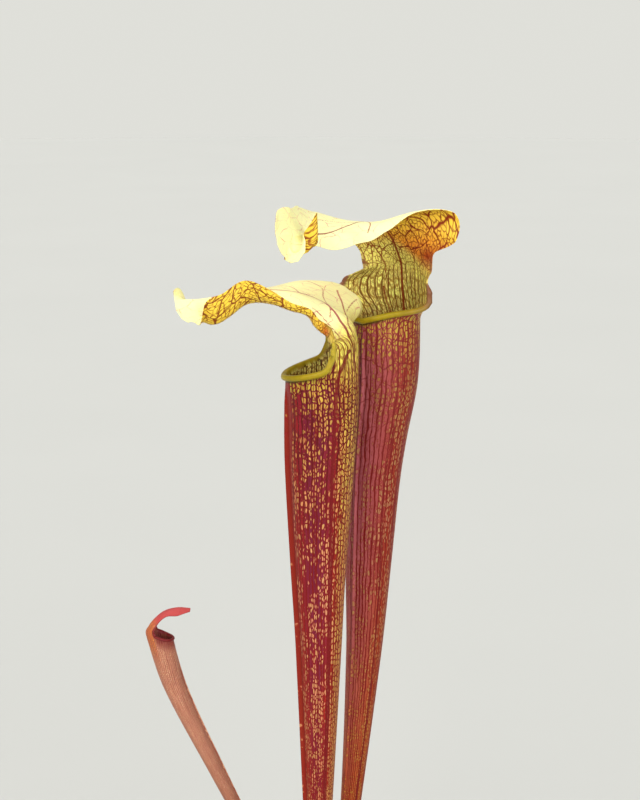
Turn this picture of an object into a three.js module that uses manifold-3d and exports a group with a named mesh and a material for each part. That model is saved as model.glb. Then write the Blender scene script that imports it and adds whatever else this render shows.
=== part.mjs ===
// A potted trumpet pitcher plant: two tall veined pitchers and an old small one
// rise from a creeping rootstock in a round plastic pot of peat mix.
// Millimetres, +Z up. The origin is the centre of the pot's underside.

import * as THREE from 'three';
import { mergeVertices } from 'three/addons/utils/BufferGeometryUtils.js';
import Module from 'manifold-3d';

const wasm = await Module();
wasm.setup();

// Driving dimensions
const GAP = 0.35;               // clearance between pieces that touch
const STEM_GAP = 0.5;           // clearance of a leaf base in its hole
const LEAF_WALL = 1.0;          // thickness of tube, neck and lid
const LIP_RADIUS = 2.1;         // rolled rim of a tall pitcher's mouth
const SMALL_LIP_RADIUS = 1.0;
const LIP_FADE = 24;            // length of neck edge over which the roll thins out
const STEM_FOOT = 122;          // height at which the leaves leave the rootstock
const SOLID_STEM = 60;          // length of leaf base that has no hollow

const POT = {
  height: 150, topRadius: 84, baseRadius: 62, wall: 2.6, floor: 3,
  bandHeight: 22, bandStep: 2.2, lipStep: 1.4, lipHeight: 4,
  sides: 48, drainHoles: 6, drainRadius: 5, drainCircle: 42,
};
const MIX = { surface: 135, mound: 2.5, rings: 5 };
const CROWN = {
  centre: [10, 17, 129], reach: [31, 20, 11], turn: 37,
  ridges: 9, ridgeHeight: 0.8, around: 28, along: 14,
};
const STUBS = [ // old leaf bases: x, y, lean in degrees, towards, length, radius
  [-11, 8, 28, 200, 17, 4.2],
  [32, 14, 34, 330, 14, 3.8],
  [1, 31, 26, 110, 19, 4.0],
  [22, 9, 15, 300, 11, 3.6],
];

// Each pitcher is one leaf. Its tube is a row of upright ellipses:
//   height, centre x, centre y, half depth (back to front), half width.
// rim: degrees from the front, rise above the front of the lip.
// keel: height, how far the narrow wing stands out from the tube's front.
// lid: stations up the neck and along the lid. rib is the midrib in the leaf's own
// frame (forward, to its left, up). left and right are the two half blades:
//   width, four slopes in degrees from midrib to edge (up is positive), and how far
//   the edge is swept along the rib.
const FRONT = {
  name: 'front_pitcher', colour: 0x9c2b2c, lipRadius: LIP_RADIUS,
  faces: 183, neckAngle: 73, lip: 532, flare: 3, blend: 14,
  tube: [
    [STEM_FOOT, 12.0, 6.0, 5.0, 5.4],
    [150, 12.4, 2.6, 5.6, 6.0],
    [200, 14.4, -2.6, 7.4, 7.4],
    [345, 15.8, -2.0, 12.8, 13.4],
    [408, 15.8, -1.0, 16.6, 17.0],
    [470, 16.8, -0.5, 21.2, 21.5],
    [515, 17.2, 0.0, 23.4, 23.2],
    [532, 16.6, 0.0, 24.0, 23.4],
    [560, 16.4, 0.0, 24.0, 23.6],
  ],
  keel: [[165, 0], [240, 2.6], [480, 3.0], [515, 2.2], [529, 0.4], [540, 0]],
  rimLeft: [[0, 0], [45, 2.5], [90, 8], [100, 12.5], [107, 20]],
  rimRight: [[0, 0], [45, 2.5], [90, 8], [100, 12.5], [107, 20]],
  lid: [
    { rib: [-23, 0, 560], left: [33, 0, -25, -52, -30, 0], right: [33, 0, -25, -52, -30, 0] },
    { rib: [-21.5, 0, 567], left: [36, 5, -40, -70, 50, 0], right: [33, 0, -20, -20, 10, -1] },
    { rib: [-16.5, 0, 574], left: [38, 5, -45, -45, 110, 8], right: [34, 8, 12, 15, 15, -6] },
    { rib: [-2.3, 0, 583], left: [38, 5, -35, -35, 90, 3], right: [40, 10, 14, 18, 18, -11] },
    { rib: [8, 0, 587.5], left: [34, 5, -20, -30, 80, 0], right: [39, 7, 12, 15, 15, -11] },
    { rib: [20.6, 0, 591], left: [33, 5, -20, -30, 90, 0], right: [37, 4, 6, 5, 0, -9] },
    { rib: [35, 0, 593], left: [35, 0, -30, 10, 110, 0], right: [34, -5, -5, -5, -5, -5] },
    { rib: [50, 0, 592], left: [37.5, 0, -40, 60, 100, 0], right: [28, -10, -10, -10, -10, 0] },
    { rib: [64, 0, 589], left: [40, -20, -60, 60, 95, 0], right: [26, -20, -20, -20, -20, 0] },
    { rib: [74, 0, 587], left: [38, -20, -65, 50, 95, 2], right: [22, -30, -30, -30, -30, 0] },
    { rib: [82.5, 0, 586], left: [19, -30, -50, -60, -60, 2], right: [17, -40, -40, -40, -40, 0] },
    { rib: [89, 0, 586], left: [17, -50, -60, -70, -80, 0], right: [12, -40, -20, -20, -20, 0] },
    { rib: [94.5, 0, 585.5], left: [12, -50, -60, -70, -80, 0], right: [7, 60, 80, 100, 140, 0] },
  ],
  neckColumns: 7, rimColumns: 8, tubeRows: 16, lidRows: 28, bead: 5,
};

const BACK = {
  name: 'back_pitcher', colour: 0x95302a, lipRadius: LIP_RADIUS,
  faces: 230, neckAngle: 80, lip: 563.5, flare: 9, blend: 14,
  tube: [
    [STEM_FOOT, 25.0, 27.0, 4.8, 5.0],
    [150, 28.6, 31.0, 5.2, 5.4],
    [200, 35.4, 38.5, 6.4, 6.6],
    [327, 45.6, 47.4, 11.2, 11.8],
    [393, 48.7, 49.0, 15.2, 16.0],
    [450, 52.0, 49.6, 18.4, 18.6],
    [480, 54.5, 50.0, 20.2, 20.4],
    [521, 59.0, 50.0, 23.2, 23.2],
    [564, 59.5, 50.0, 23.9, 23.9],
    [582, 59.5, 50.0, 20.0, 23.9],
    [600, 59.5, 50.0, 17.0, 23.9],
  ],
  keel: [[165, 0], [240, 2.4], [505, 2.8], [545, 2.0], [560, 0.4], [572, 0]],
  rimLeft: [[0, 0], [45, 2.5], [85, 8], [95, 14], [100, 26]],
  rimRight: [[0, 0], [35, 2], [55, 8], [68, 14], [82, 19], [100, 26]],
  lid: [
    { rib: [-17, 0, 600], left: [34, 0, -18, -34, -38, 0], right: [29, 0, -25, -50, -58, 0] },
    { rib: [-12.5, 0, 608], left: [33, 0, -5, -12, -12, 0], right: [26, 0, -20, -38, -38, 0] },
    { rib: [-8.5, 0, 613.5], left: [37, 0, 0, -5, -10, 0], right: [26, 0, -15, -25, -15, -2] },
    { rib: [-5, 0, 618], left: [48, 3, 5, 3, 0, -3], right: [28, 0, -15, -18, 0, -4] },
    { rib: [-1, 0, 622.5], left: [55, 6, 12, 8, 0, -6], right: [31, 0, -12, -10, 0, -6] },
    { rib: [4, 0, 627], left: [53, 9, 18, 20, 12, -7], right: [34, 0, -10, -5, 0, -8] },
    { rib: [15, 0, 631], left: [34, 5, 18, 20, 5, 0], right: [36, 0, -8, -8, -8, -5] },
    { rib: [28, 0, 632.5], left: [24, 0, -5, -10, -20, 0], right: [34, -5, 0, 0, 0, 0] },
    { rib: [41, 0, 631], left: [21, 0, -20, -30, -30, 0], right: [32, 0, 10, 10, 10, 0] },
    { rib: [55, 0, 629], left: [18, 0, -20, -35, -40, 0], right: [30, 10, 20, 25, 25, 0] },
    { rib: [66, 0, 628.5], left: [13.5, -15, -35, -45, -45, 0], right: [28, 18, 28, 32, 32, 0] },
    { rib: [74, 0, 629], left: [11, -40, -60, -50, -20, 0], right: [27, 22, 36, 40, 40, 0] },
    { rib: [82, 0, 629.5], left: [31, -70, -85, 50, 88, 0], right: [26, 30, 46, 50, 50, 0] },
    { rib: [90, 0, 630], left: [21, -80, -88, -60, -30, 0], right: [22, 38, 52, 58, 58, 0] },
    { rib: [97, 0, 631], left: [19, -85, -88, -88, -88, 0], right: [19, 45, 60, 64, 64, 0] },
    { rib: [104, 0, 631.5], left: [17, -85, -88, -90, -90, 0], right: [15, 50, 66, 70, 70, 0] },
    { rib: [111, 0, 631], left: [9, -80, -85, -90, -90, 0], right: [8, 55, 70, 75, 75, 0] },
  ],
  neckColumns: 7, rimColumns: 8, tubeRows: 16, lidRows: 28, bead: 5,
};

const SMALL = {
  name: 'old_small_pitcher', colour: 0xa2564a, lipRadius: SMALL_LIP_RADIUS,
  faces: 0, neckAngle: 70, lip: 345, flare: 0, blend: 6,
  tube: [
    [STEM_FOOT, -4.0, 20.0, 3.6, 3.8],
    [150, -11.0, 20.0, 3.8, 4.0],
    [200, -33.5, 20.4, 4.4, 4.6],
    [250, -57.5, 20.2, 5.6, 5.6],
    [310, -85.0, 20.0, 7.6, 7.2],
    [345, -94.5, 20.0, 9.0, 8.2],
    [362, -98.0, 20.0, 9.0, 8.2],
  ],
  keel: [[170, 0], [230, 1.2], [310, 1.4], [340, 0], [350, 0]],
  rimLeft: [[0, 0], [60, 1], [110, 4]],
  rimRight: [[0, 0], [60, 1], [110, 4]],
  lid: [
    { rib: [-7.5, 0, 354.5], left: [8, 0, -20, -40, -50, 0], right: [8, 0, -20, -40, -50, 0] },
    { rib: [-3, 0, 360.5], left: [6.5, 0, -20, -40, -50, 0], right: [6.5, 0, -20, -40, -50, 0] },
    { rib: [4, 0, 366], left: [6, 0, -20, -40, -50, 0], right: [6, 0, -20, -40, -50, 0] },
    { rib: [13, 0, 368.5], left: [7, -10, -30, -50, -60, 0], right: [7, -10, -30, -50, -60, 0] },
    { rib: [21.5, 0, 368], left: [3, -10, -30, -50, -60, 0], right: [3, -10, -30, -50, -60, 0] },
  ],
  neckColumns: 4, rimColumns: 5, tubeRows: 12, lidRows: 12, bead: 3,
};

const FINER = 4;                // steps of a blade's curve for each column of its mesh
const radians = THREE.MathUtils.degToRad;

function ease(t) {
  const s = Math.min(Math.max(t, 0), 1);
  return s * s * (3 - 2 * s);
}

// The smooth curve through rows [key, value, ...], read at one key
function along(rows, key) {
  const last = rows.length - 1;
  const at = Math.min(Math.max(key, rows[0][0]), rows[last][0]);
  let i = 0;
  while (i < last - 1 && rows[i + 1][0] <= at) i += 1;
  const slope = (j, column) => {
    const before = rows[Math.max(j - 1, 0)];
    const after = rows[Math.min(j + 1, last)];
    return (after[column] - before[column]) / (after[0] - before[0]);
  };
  const step = rows[i + 1][0] - rows[i][0];
  const t = (at - rows[i][0]) / step;
  const values = [];
  for (let column = 1; column < rows[0].length; column += 1) {
    values.push(
      (2 * t ** 3 - 3 * t ** 2 + 1) * rows[i][column]
      + (t ** 3 - 2 * t ** 2 + t) * step * slope(i, column)
      + (3 * t ** 2 - 2 * t ** 3) * rows[i + 1][column]
      + (t ** 3 - t ** 2) * step * slope(i + 1, column),
    );
  }
  return values;
}

function distance(a, b) {
  return new THREE.Vector3(...a).distanceTo(new THREE.Vector3(...b));
}

// A point of the pitcher's outer wall. The angle is counted from the back, left positive.
function tubePoint(leaf, height, angle, grow = 0) {
  const [x, y, depth, width] = along(leaf.tube, height);
  const turn = radians(angle);
  const flare = leaf.flare * ease((height - leaf.lip) / 18) * Math.sin(turn) ** 2;
  const back = (depth + grow) * Math.cos(turn);
  const side = (width + flare + grow) * Math.sin(turn);
  const face = radians(leaf.faces);
  return new THREE.Vector3(
    x - back * Math.cos(face) - side * Math.sin(face),
    y - back * Math.sin(face) + side * Math.cos(face),
    height,
  );
}

// Column angles, right to left, with the front column first and only once
function columnAngles(leaf) {
  const { neckAngle, neckColumns, rimColumns } = leaf;
  const keelFoot = 180 - 5;
  const side = [];
  for (let j = 1; j <= neckColumns; j += 1) side.push(neckAngle * j / neckColumns);
  for (let j = 1; j < rimColumns; j += 1) {
    side.push(neckAngle + (keelFoot - neckAngle) * j / (rimColumns - 1));
  }
  return [-180, ...side.map((a) => -a).reverse(), 0, ...side];
}

function neckFoot(leaf) {
  return leaf.lip + leaf.rimLeft[leaf.rimLeft.length - 1][1];
}

// Rows of points up the tube, each from the stem foot to the rim
function tubeGrid(leaf, keel) {
  const angles = columnAngles(leaf);
  const rows = [];
  for (let i = 0; i <= leaf.tubeRows; i += 1) {
    const share = 1 - (1 - i / leaf.tubeRows) ** 1.25;
    rows.push(angles.map((angle) => {
      const rim = angle > 0 ? leaf.rimLeft : leaf.rimRight;
      const inNeck = Math.abs(angle) <= leaf.neckAngle;
      const top = inNeck ? neckFoot(leaf) : leaf.lip + along(rim, 180 - Math.abs(angle))[0];
      const height = STEM_FOOT + (top - STEM_FOOT) * share;
      const grow = keel && angle === -180 ? along(leaf.keel, height)[0] : 0;
      return tubePoint(leaf, height, angle, grow);
    }));
  }
  return rows;
}

// Rows of points across the neck and lid, right edge to left edge
function lidGrid(leaf) {
  const foot = neckFoot(leaf);
  const [x, y, depth, width] = along(leaf.tube, foot);
  const arc = radians(leaf.neckAngle) * (depth + width) / 2;
  const curl = [0, -leaf.neckAngle / 3, -leaf.neckAngle * 2 / 3, -leaf.neckAngle];
  const stations = [
    { rib: [-depth, 0, foot], left: [arc, ...curl, 0], right: [arc, ...curl, 0] },
    ...leaf.lid,
  ];
  let length = 0;
  const rows = stations.map(({ rib, left, right }, i) => {
    if (i > 0) length += distance(rib, stations[i - 1].rib);
    return [length, ...rib, ...left, ...right];
  });
  const face = radians(leaf.faces);
  const forward = new THREE.Vector3(Math.cos(face), Math.sin(face), 0);
  const leftward = new THREE.Vector3(-Math.sin(face), Math.cos(face), 0);
  const toWorld = (p) => new THREE.Vector3(x, y, p.z)
    .addScaledVector(forward, p.x).addScaledVector(leftward, p.y);
  const grid = [];
  for (let i = 1; i <= leaf.lidRows; i += 1) {
    const key = length * i / leaf.lidRows;
    const values = along(rows, key);
    const rib = new THREE.Vector3(...values.slice(0, 3));
    const ahead = new THREE.Vector3(...along(rows, Math.min(key + 0.5, length)).slice(0, 3));
    const behind = new THREE.Vector3(...along(rows, Math.max(key - 0.5, 0)).slice(0, 3));
    const tangent = ahead.sub(behind).normalize();
    const side = new THREE.Vector3(0, 1, 0).addScaledVector(tangent, -tangent.y).normalize();
    const outward = tangent.clone().cross(side);
    const halves = [values.slice(3, 9), values.slice(9, 15)];
    const half = ([span, ...rest], sign) => {
      const slopes = rest.slice(0, 4).map((slope, j) => [j / 3, slope]);
      const sweep = rest[4];
      const substeps = FINER * leaf.neckColumns;
      const point = rib.clone();
      const points = [];
      for (let j = 1; j <= substeps; j += 1) {
        const slope = radians(along(slopes, (j - 0.5) / substeps)[0]);
        point.addScaledVector(side, sign * Math.cos(slope) * span / substeps);
        point.addScaledVector(outward, Math.sin(slope) * span / substeps);
        if (j % FINER === 0) {
          points.push(point.clone().addScaledVector(tangent, sweep * (j / substeps) ** 2));
        }
      }
      return points;
    };
    const row = [...half(halves[1], -1).reverse(), rib, ...half(halves[0], 1)].map(toWorld);
    const share = ease(key / leaf.blend);
    grid.push(row.map((point, j) => {
      const angle = leaf.neckAngle * (j - leaf.neckColumns) / leaf.neckColumns;
      return tubePoint(leaf, foot + key, angle).lerp(point, share);
    }));
  }
  return grid;
}

// Outward unit normals of a grid of rows that run up and columns that run to the left
function gridNormals(rows, wraps) {
  const columns = rows[0].length;
  return rows.map((row, i) => row.map((_, j) => {
    const up = rows[Math.min(i + 1, rows.length - 1)][j].clone().sub(rows[Math.max(i - 1, 0)][j]);
    const left = wraps ? (j + 1) % columns : Math.min(j + 1, columns - 1);
    const right = wraps ? (j + columns - 1) % columns : Math.max(j - 1, 0);
    return up.cross(row[left].clone().sub(row[right])).normalize();
  }));
}

// One leaf: an outer and an inner sheet, joined round the mouth and the lid by a bead
// that is a thick roll on the lip and a plain round edge on the lid.
function pitcher(leaf) {
  const { neckColumns, lidRows, tubeRows, bead } = leaf;
  const tube = tubeGrid(leaf, true);
  const core = tubeGrid(leaf, false);
  const lid = lidGrid(leaf);
  const count = core[0].length;
  const middle = leaf.rimColumns + neckColumns;
  const first = middle - neckColumns;
  const last = middle + neckColumns;
  const neckTop = core[tubeRows].slice(first, last + 1);
  const tubeNormals = gridNormals(core, true);
  const belowNeck = core[tubeRows - 1].slice(first, last + 1);
  const lidNormals = gridNormals([belowNeck, neckTop, ...lid], false);
  for (let j = first + 1; j < last; j += 1) tubeNormals[tubeRows][j] = lidNormals[1][j - first];
  const solidRow = core.findIndex((row) => row[middle].z > STEM_FOOT + SOLID_STEM);
  const points = [];
  const triangles = [];
  const add = (point) => points.push(point) - 1;
  const inward = (point, normal) => point.clone().addScaledVector(normal, -LEAF_WALL);
  const outerTube = tube.map((row) => row.map(add));
  const innerTube = core.map((row, i) => (i < solidRow ? null
    : row.map((point, j) => add(inward(point, tubeNormals[i][j])))));
  const outerLid = lid.map((row) => row.map(add));
  const innerLid = lid.map((row, i) => row.map((point, j) => add(inward(point, lidNormals[i + 2][j]))));
  const quad = (a, b, c, d) => triangles.push([a, b, c], [a, c, d]);
  for (let i = 0; i < tubeRows; i += 1) {
    for (let j = 0; j < count; j += 1) {
      const k = (j + 1) % count;
      quad(outerTube[i][j], outerTube[i + 1][j], outerTube[i + 1][k], outerTube[i][k]);
      if (i >= solidRow) {
        quad(innerTube[i][j], innerTube[i][k], innerTube[i + 1][k], innerTube[i + 1][j]);
      }
    }
  }
  const outerRows = [outerTube[tubeRows].slice(first, last + 1), ...outerLid];
  const innerRows = [innerTube[tubeRows].slice(first, last + 1), ...innerLid];
  for (let i = 0; i < lidRows; i += 1) {
    for (let j = 0; j < 2 * neckColumns; j += 1) {
      quad(outerRows[i][j], outerRows[i + 1][j], outerRows[i + 1][j + 1], outerRows[i][j + 1]);
      quad(innerRows[i][j], innerRows[i][j + 1], innerRows[i + 1][j + 1], innerRows[i + 1][j]);
    }
  }
  const footCentre = add(centreOf(tube[0]));
  const floorCentre = add(centreOf(core[solidRow]));
  for (let j = 0; j < count; j += 1) {
    const k = (j + 1) % count;
    triangles.push([outerTube[0][j], outerTube[0][k], footCentre]);
    triangles.push([innerTube[solidRow][k], innerTube[solidRow][j], floorCentre]);
  }
  // The edge loop: up the left edge of the lid, round its tip, down and round the mouth
  const loop = [];
  const keyStep = 1 / lidRows;
  for (let i = 0; i <= lidRows; i += 1) {
    loop.push([outerRows[i][2 * neckColumns], innerRows[i][2 * neckColumns], i * keyStep]);
  }
  for (let j = 2 * neckColumns - 1; j > 0; j -= 1) {
    loop.push([outerRows[lidRows][j], innerRows[lidRows][j], 1]);
  }
  for (let i = lidRows; i >= 0; i -= 1) loop.push([outerRows[i][0], innerRows[i][0], i * keyStep]);
  for (let j = first - 1; j >= 0; j -= 1) {
    loop.push([outerTube[tubeRows][j], innerTube[tubeRows][j], 0]);
  }
  for (let j = count - 1; j > last; j -= 1) {
    loop.push([outerTube[tubeRows][j], innerTube[tubeRows][j], 0]);
  }
  let ribLength = 0;
  for (let i = 1; i < leaf.lid.length; i += 1) {
    ribLength += distance(leaf.lid[i].rib, leaf.lid[i - 1].rib);
  }
  const rings = loop.map(([outer, inner, share], i) => {
    const next = points[loop[(i + 1) % loop.length][0]];
    const previous = points[loop[(i + loop.length - 1) % loop.length][0]];
    const edge = next.clone().sub(previous).normalize();
    const normal = points[outer].clone().sub(points[inner]).normalize();
    const off = normal.clone().cross(edge).normalize();
    const half = LEAF_WALL / 2;
    const radius = half + (leaf.lipRadius - half) * (1 - ease(share * ribLength / LIP_FADE));
    const rise = Math.sqrt(Math.max(2 * radius * LEAF_WALL - LEAF_WALL ** 2, 0));
    const centre = points[outer].clone()
      .addScaledVector(normal, radius - LEAF_WALL).addScaledVector(off, rise);
    const start = Math.atan2(-rise, LEAF_WALL - radius);
    const ring = [outer];
    const from = start > 0 ? start - 2 * Math.PI : start;
    for (let s = 1; s <= bead; s += 1) {
      const turn = from + (Math.PI - from) * s / (bead + 1);
      ring.push(add(centre.clone().addScaledVector(normal, radius * Math.cos(turn))
        .addScaledVector(off, radius * Math.sin(turn))));
    }
    ring.push(inner);
    return ring;
  });
  rings.forEach((ring, i) => {
    const next = rings[(i + 1) % rings.length];
    for (let s = 0; s < ring.length - 1; s += 1) quad(ring[s], next[s], next[s + 1], ring[s + 1]);
  });
  return geometryOf(points, triangles);
}

function centreOf(row) {
  return row.reduce((sum, p) => sum.add(p), new THREE.Vector3()).divideScalar(row.length);
}

function geometryOf(points, triangles) {
  const geometry = new THREE.BufferGeometry();
  const numbers = points.flatMap((p) => p.toArray());
  geometry.setAttribute('position', new THREE.Float32BufferAttribute(numbers, 3));
  geometry.setIndex(triangles.flat());
  return geometry;
}

// Conversions between a closed three.js geometry and a manifold solid
function solidOf(geometry) {
  const plain = new THREE.BufferGeometry();
  plain.setAttribute('position', geometry.getAttribute('position').clone());
  if (geometry.index) plain.setIndex(geometry.index.clone());
  const merged = mergeVertices(plain, 1e-4);
  return new wasm.Manifold(new wasm.Mesh({
    numProp: 3,
    vertProperties: new Float32Array(merged.getAttribute('position').array),
    triVerts: new Uint32Array(merged.index.array),
  }));
}

function geometryFrom(solid) {
  const mesh = solid.getMesh();
  const geometry = new THREE.BufferGeometry();
  const positions = new Float32Array(mesh.numVert * 3);
  for (let i = 0; i < mesh.numVert; i += 1) {
    for (let axis = 0; axis < 3; axis += 1) {
      positions[3 * i + axis] = mesh.vertProperties[i * mesh.numProp + axis];
    }
  }
  geometry.setAttribute('position', new THREE.BufferAttribute(positions, 3));
  geometry.setIndex(new THREE.BufferAttribute(new Uint32Array(mesh.triVerts), 1));
  return geometry;
}

// A closed lathe about Z from profile points [radius, height] that begin and end on it
function turned(profile, sides) {
  const geometry = new THREE.LatheGeometry(profile.map(([r, z]) => new THREE.Vector2(r, z)), sides);
  return geometry.rotateX(Math.PI / 2);
}

// The lower end of a leaf with a clearance all round, for its hole in rootstock and mix
function stemHole(leaf, grow) {
  const angles = columnAngles(leaf);
  const top = MIX.surface + 30;
  const steps = 8;
  const points = [];
  const triangles = [];
  const rows = [];
  for (let i = 0; i <= steps; i += 1) {
    const height = STEM_FOOT + (top - STEM_FOOT) * i / steps;
    rows.push(angles.map((angle) => {
      const point = tubePoint(leaf, height, angle, grow);
      if (i === 0) point.z -= grow;
      return points.push(point) - 1;
    }));
  }
  for (let i = 0; i < steps; i += 1) {
    rows[i].forEach((a, j) => {
      const k = (j + 1) % angles.length;
      triangles.push([a, rows[i + 1][j], rows[i + 1][k]], [a, rows[i + 1][k], rows[i][k]]);
    });
  }
  [rows[0], rows[steps]].forEach((row, end) => {
    const hub = points.push(centreOf(row.map((k) => points[k]))) - 1;
    row.forEach((a, j) => {
      const b = row[(j + 1) % row.length];
      triangles.push(end === 0 ? [a, b, hub] : [b, a, hub]);
    });
  });
  return solidOf(geometryOf(points, triangles));
}

function pot() {
  const { height, topRadius, baseRadius, wall, floor, bandHeight, bandStep, lipStep, lipHeight } = POT;
  const outer = (z) => baseRadius + (topRadius - bandStep - baseRadius) * z / height;
  const bandFoot = height - bandHeight;
  const shell = turned([
    [0, 0], [baseRadius - 2, 0], [baseRadius, 2],
    [outer(bandFoot), bandFoot], [outer(bandFoot) + bandStep, bandFoot + 1],
    [topRadius - lipStep, height - lipHeight - 1], [topRadius, height - lipHeight],
    [topRadius, height - 0.8], [topRadius - 0.8, height],
    [topRadius - wall - 0.8, height], [topRadius - wall - lipStep - 0.6, height - 1],
    [outer(floor) - wall, floor], [0, floor],
  ], POT.sides);
  let solid = solidOf(shell);
  for (let i = 0; i < POT.drainHoles; i += 1) {
    const turn = 2 * Math.PI * i / POT.drainHoles;
    const drill = new THREE.CylinderGeometry(POT.drainRadius, POT.drainRadius, 4 * floor, 16)
      .rotateX(Math.PI / 2)
      .translate(POT.drainCircle * Math.cos(turn), POT.drainCircle * Math.sin(turn), 0);
    solid = solid.subtract(solidOf(drill));
  }
  return solid;
}

// The inside radius of the pot at a height
function potInside(z) {
  const { height, topRadius, baseRadius, wall, bandStep, lipStep, floor } = POT;
  const low = baseRadius + (topRadius - bandStep - baseRadius) * floor / height - wall;
  const high = topRadius - wall - lipStep - 0.6;
  return low + (high - low) * (z - floor) / (height - 1 - floor);
}

// The rootstock: a ridged creeping body with the cut stubs of old leaves
function crown(grow) {
  const { centre, reach, turn, ridges, ridgeHeight, around, along: steps } = CROWN;
  const points = [];
  const triangles = [];
  const rows = [];
  for (let i = 1; i < steps; i += 1) {
    const polar = Math.PI * i / steps;
    const row = [];
    for (let j = 0; j < around; j += 1) {
      const spin = 2 * Math.PI * j / around;
      const ridge = 1 + ridgeHeight / reach[1] * Math.sin(ridges * polar + 1.5 * Math.sin(spin));
      row.push(points.push(new THREE.Vector3(
        (reach[0] + grow) * Math.cos(polar),
        (reach[1] * ridge + grow) * Math.sin(polar) * Math.cos(spin),
        (reach[2] * ridge + grow) * Math.sin(polar) * Math.sin(spin),
      )) - 1);
    }
    rows.push(row);
  }
  const tip = (sign) => points.push(new THREE.Vector3(sign * (reach[0] + grow), 0, 0)) - 1;
  const head = tip(1);
  const tail = tip(-1);
  const lastRow = rows[rows.length - 1];
  for (let j = 0; j < around; j += 1) {
    const k = (j + 1) % around;
    triangles.push([head, rows[0][j], rows[0][k]], [tail, lastRow[k], lastRow[j]]);
    for (let i = 0; i < rows.length - 1; i += 1) {
      const [row, next] = [rows[i], rows[i + 1]];
      triangles.push([row[j], next[j], next[k]], [row[j], next[k], row[k]]);
    }
  }
  const body = geometryOf(points, triangles).rotateZ(radians(turn)).translate(...centre);
  let solid = solidOf(body);
  STUBS.forEach(([x, y, lean, towards, length, radius]) => {
    const stub = new THREE.CylinderGeometry(radius * 0.82 + grow, radius + grow, length + grow, 9)
      .translate(0, length / 2, 0).rotateX(Math.PI / 2)
      .rotateY(radians(lean)).rotateZ(radians(towards)).translate(x, y, centre[2] + 4);
    solid = solid.add(solidOf(stub));
  });
  return solid;
}

function pottingMix() {
  const profile = [[0, POT.floor + GAP], [potInside(POT.floor) - GAP, POT.floor + GAP]];
  const edge = potInside(MIX.surface - MIX.mound) - GAP;
  for (let i = MIX.rings; i >= 0; i -= 1) {
    const share = i / MIX.rings;
    profile.push([edge * share, MIX.surface + MIX.mound * (1 - share ** 2) - MIX.mound]);
  }
  return solidOf(turned(profile, POT.sides));
}

const leaves = [FRONT, BACK, SMALL];
const holes = leaves.map((leaf) => stemHole(leaf, STEM_GAP));
const cutHoles = (solid) => holes.reduce((rest, hole) => rest.subtract(hole), solid);

const object = new THREE.Group();

function place(name, geometry, colour, roughness) {
  const material = new THREE.MeshStandardMaterial({ color: colour, roughness, metalness: 0 });
  const mesh = new THREE.Mesh(geometry, material);
  mesh.name = name;
  object.add(mesh);
}

place('pot', geometryFrom(pot()), 0xa5603f, 0.5);
place('potting_mix', geometryFrom(cutHoles(pottingMix().subtract(crown(STEM_GAP)))), 0x3a2a1d, 0.95);
place('rootstock', geometryFrom(cutHoles(crown(0))), 0x6b4a2e, 0.8);
leaves.forEach((leaf) => place(leaf.name, pitcher(leaf), leaf.colour, 0.45));

export default object;
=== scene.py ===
"""A potted trumpet pitcher plant: finished surfaces, soil, light and camera.

Lengths in the tables are millimetres and become metres when a mesh is made.
A leaf's own directions are forward (the way its mouth faces), left and up. An
angle round its tube is counted in degrees from the back, left positive.
"""

import math
from types import SimpleNamespace

import bmesh
import bpy
import numpy as np
from mathutils import Matrix, Quaternion, Vector, noise


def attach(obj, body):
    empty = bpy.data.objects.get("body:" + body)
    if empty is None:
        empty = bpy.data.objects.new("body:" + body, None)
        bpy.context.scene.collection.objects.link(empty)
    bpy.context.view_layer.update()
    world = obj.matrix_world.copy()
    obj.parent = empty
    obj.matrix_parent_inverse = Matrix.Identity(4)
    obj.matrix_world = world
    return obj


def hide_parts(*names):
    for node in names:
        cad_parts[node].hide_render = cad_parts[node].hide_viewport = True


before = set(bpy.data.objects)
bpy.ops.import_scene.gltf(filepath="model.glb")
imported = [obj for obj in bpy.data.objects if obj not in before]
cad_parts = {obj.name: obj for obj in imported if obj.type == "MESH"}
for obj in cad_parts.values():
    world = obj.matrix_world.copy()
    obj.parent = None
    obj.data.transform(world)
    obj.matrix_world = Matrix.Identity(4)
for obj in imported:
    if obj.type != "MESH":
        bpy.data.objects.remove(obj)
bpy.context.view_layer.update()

MM = 0.001
VEINS_AROUND = 40           # main lengthwise veins round a tube
CELLS_ACROSS = 1.9          # light cells between two of them
CELLS_ALONG = 1.45
LEAF_WALL = 1.0             # thickness of a leaf's tube, neck and lid
STEM_FOOT = 122             # height at which the leaves leave the rootstock
SOLID_STEM = 60             # length of leaf base that has no hollow
KEEL_FOOT = 5               # half the keel's width, in degrees round the tube
WING_COLUMNS = (0.3, 0.5, 0.7, 0.86)    # where a mesh has columns across half the keel
BLADE_STEPS = 4             # steps of a blade's curve for each column of its mesh
FAR = 60                    # stands for a rim or a margin that is out of reach
NO_VEIN = 20.0              # and this for a drawn vein that is
HAIR_LENGTHS, HAIR_RADIUS = (0.7, 1.5), 0.07

POT_HEIGHT, POT_TOP, POT_FOOT, POT_WALL, POT_FLOOR = 150, 84, 62, 2.6, 3
BAND_HEIGHT, BAND_STEP = 22, 2.2        # the band under the pot's rim
POT_SPREAD = POT_TOP - BAND_STEP - POT_FOOT   # how far its wall leans out, below the band
POT_SIDES = 240
DRAIN_HOLES, DRAIN_RADIUS, DRAIN_CIRCLE = 6, 5, 42

MIX_EDGE, MIX_MOUND, MIX_GAP, SOIL_RADIUS = 132.5, 2.5, 0.4, 76
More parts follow.
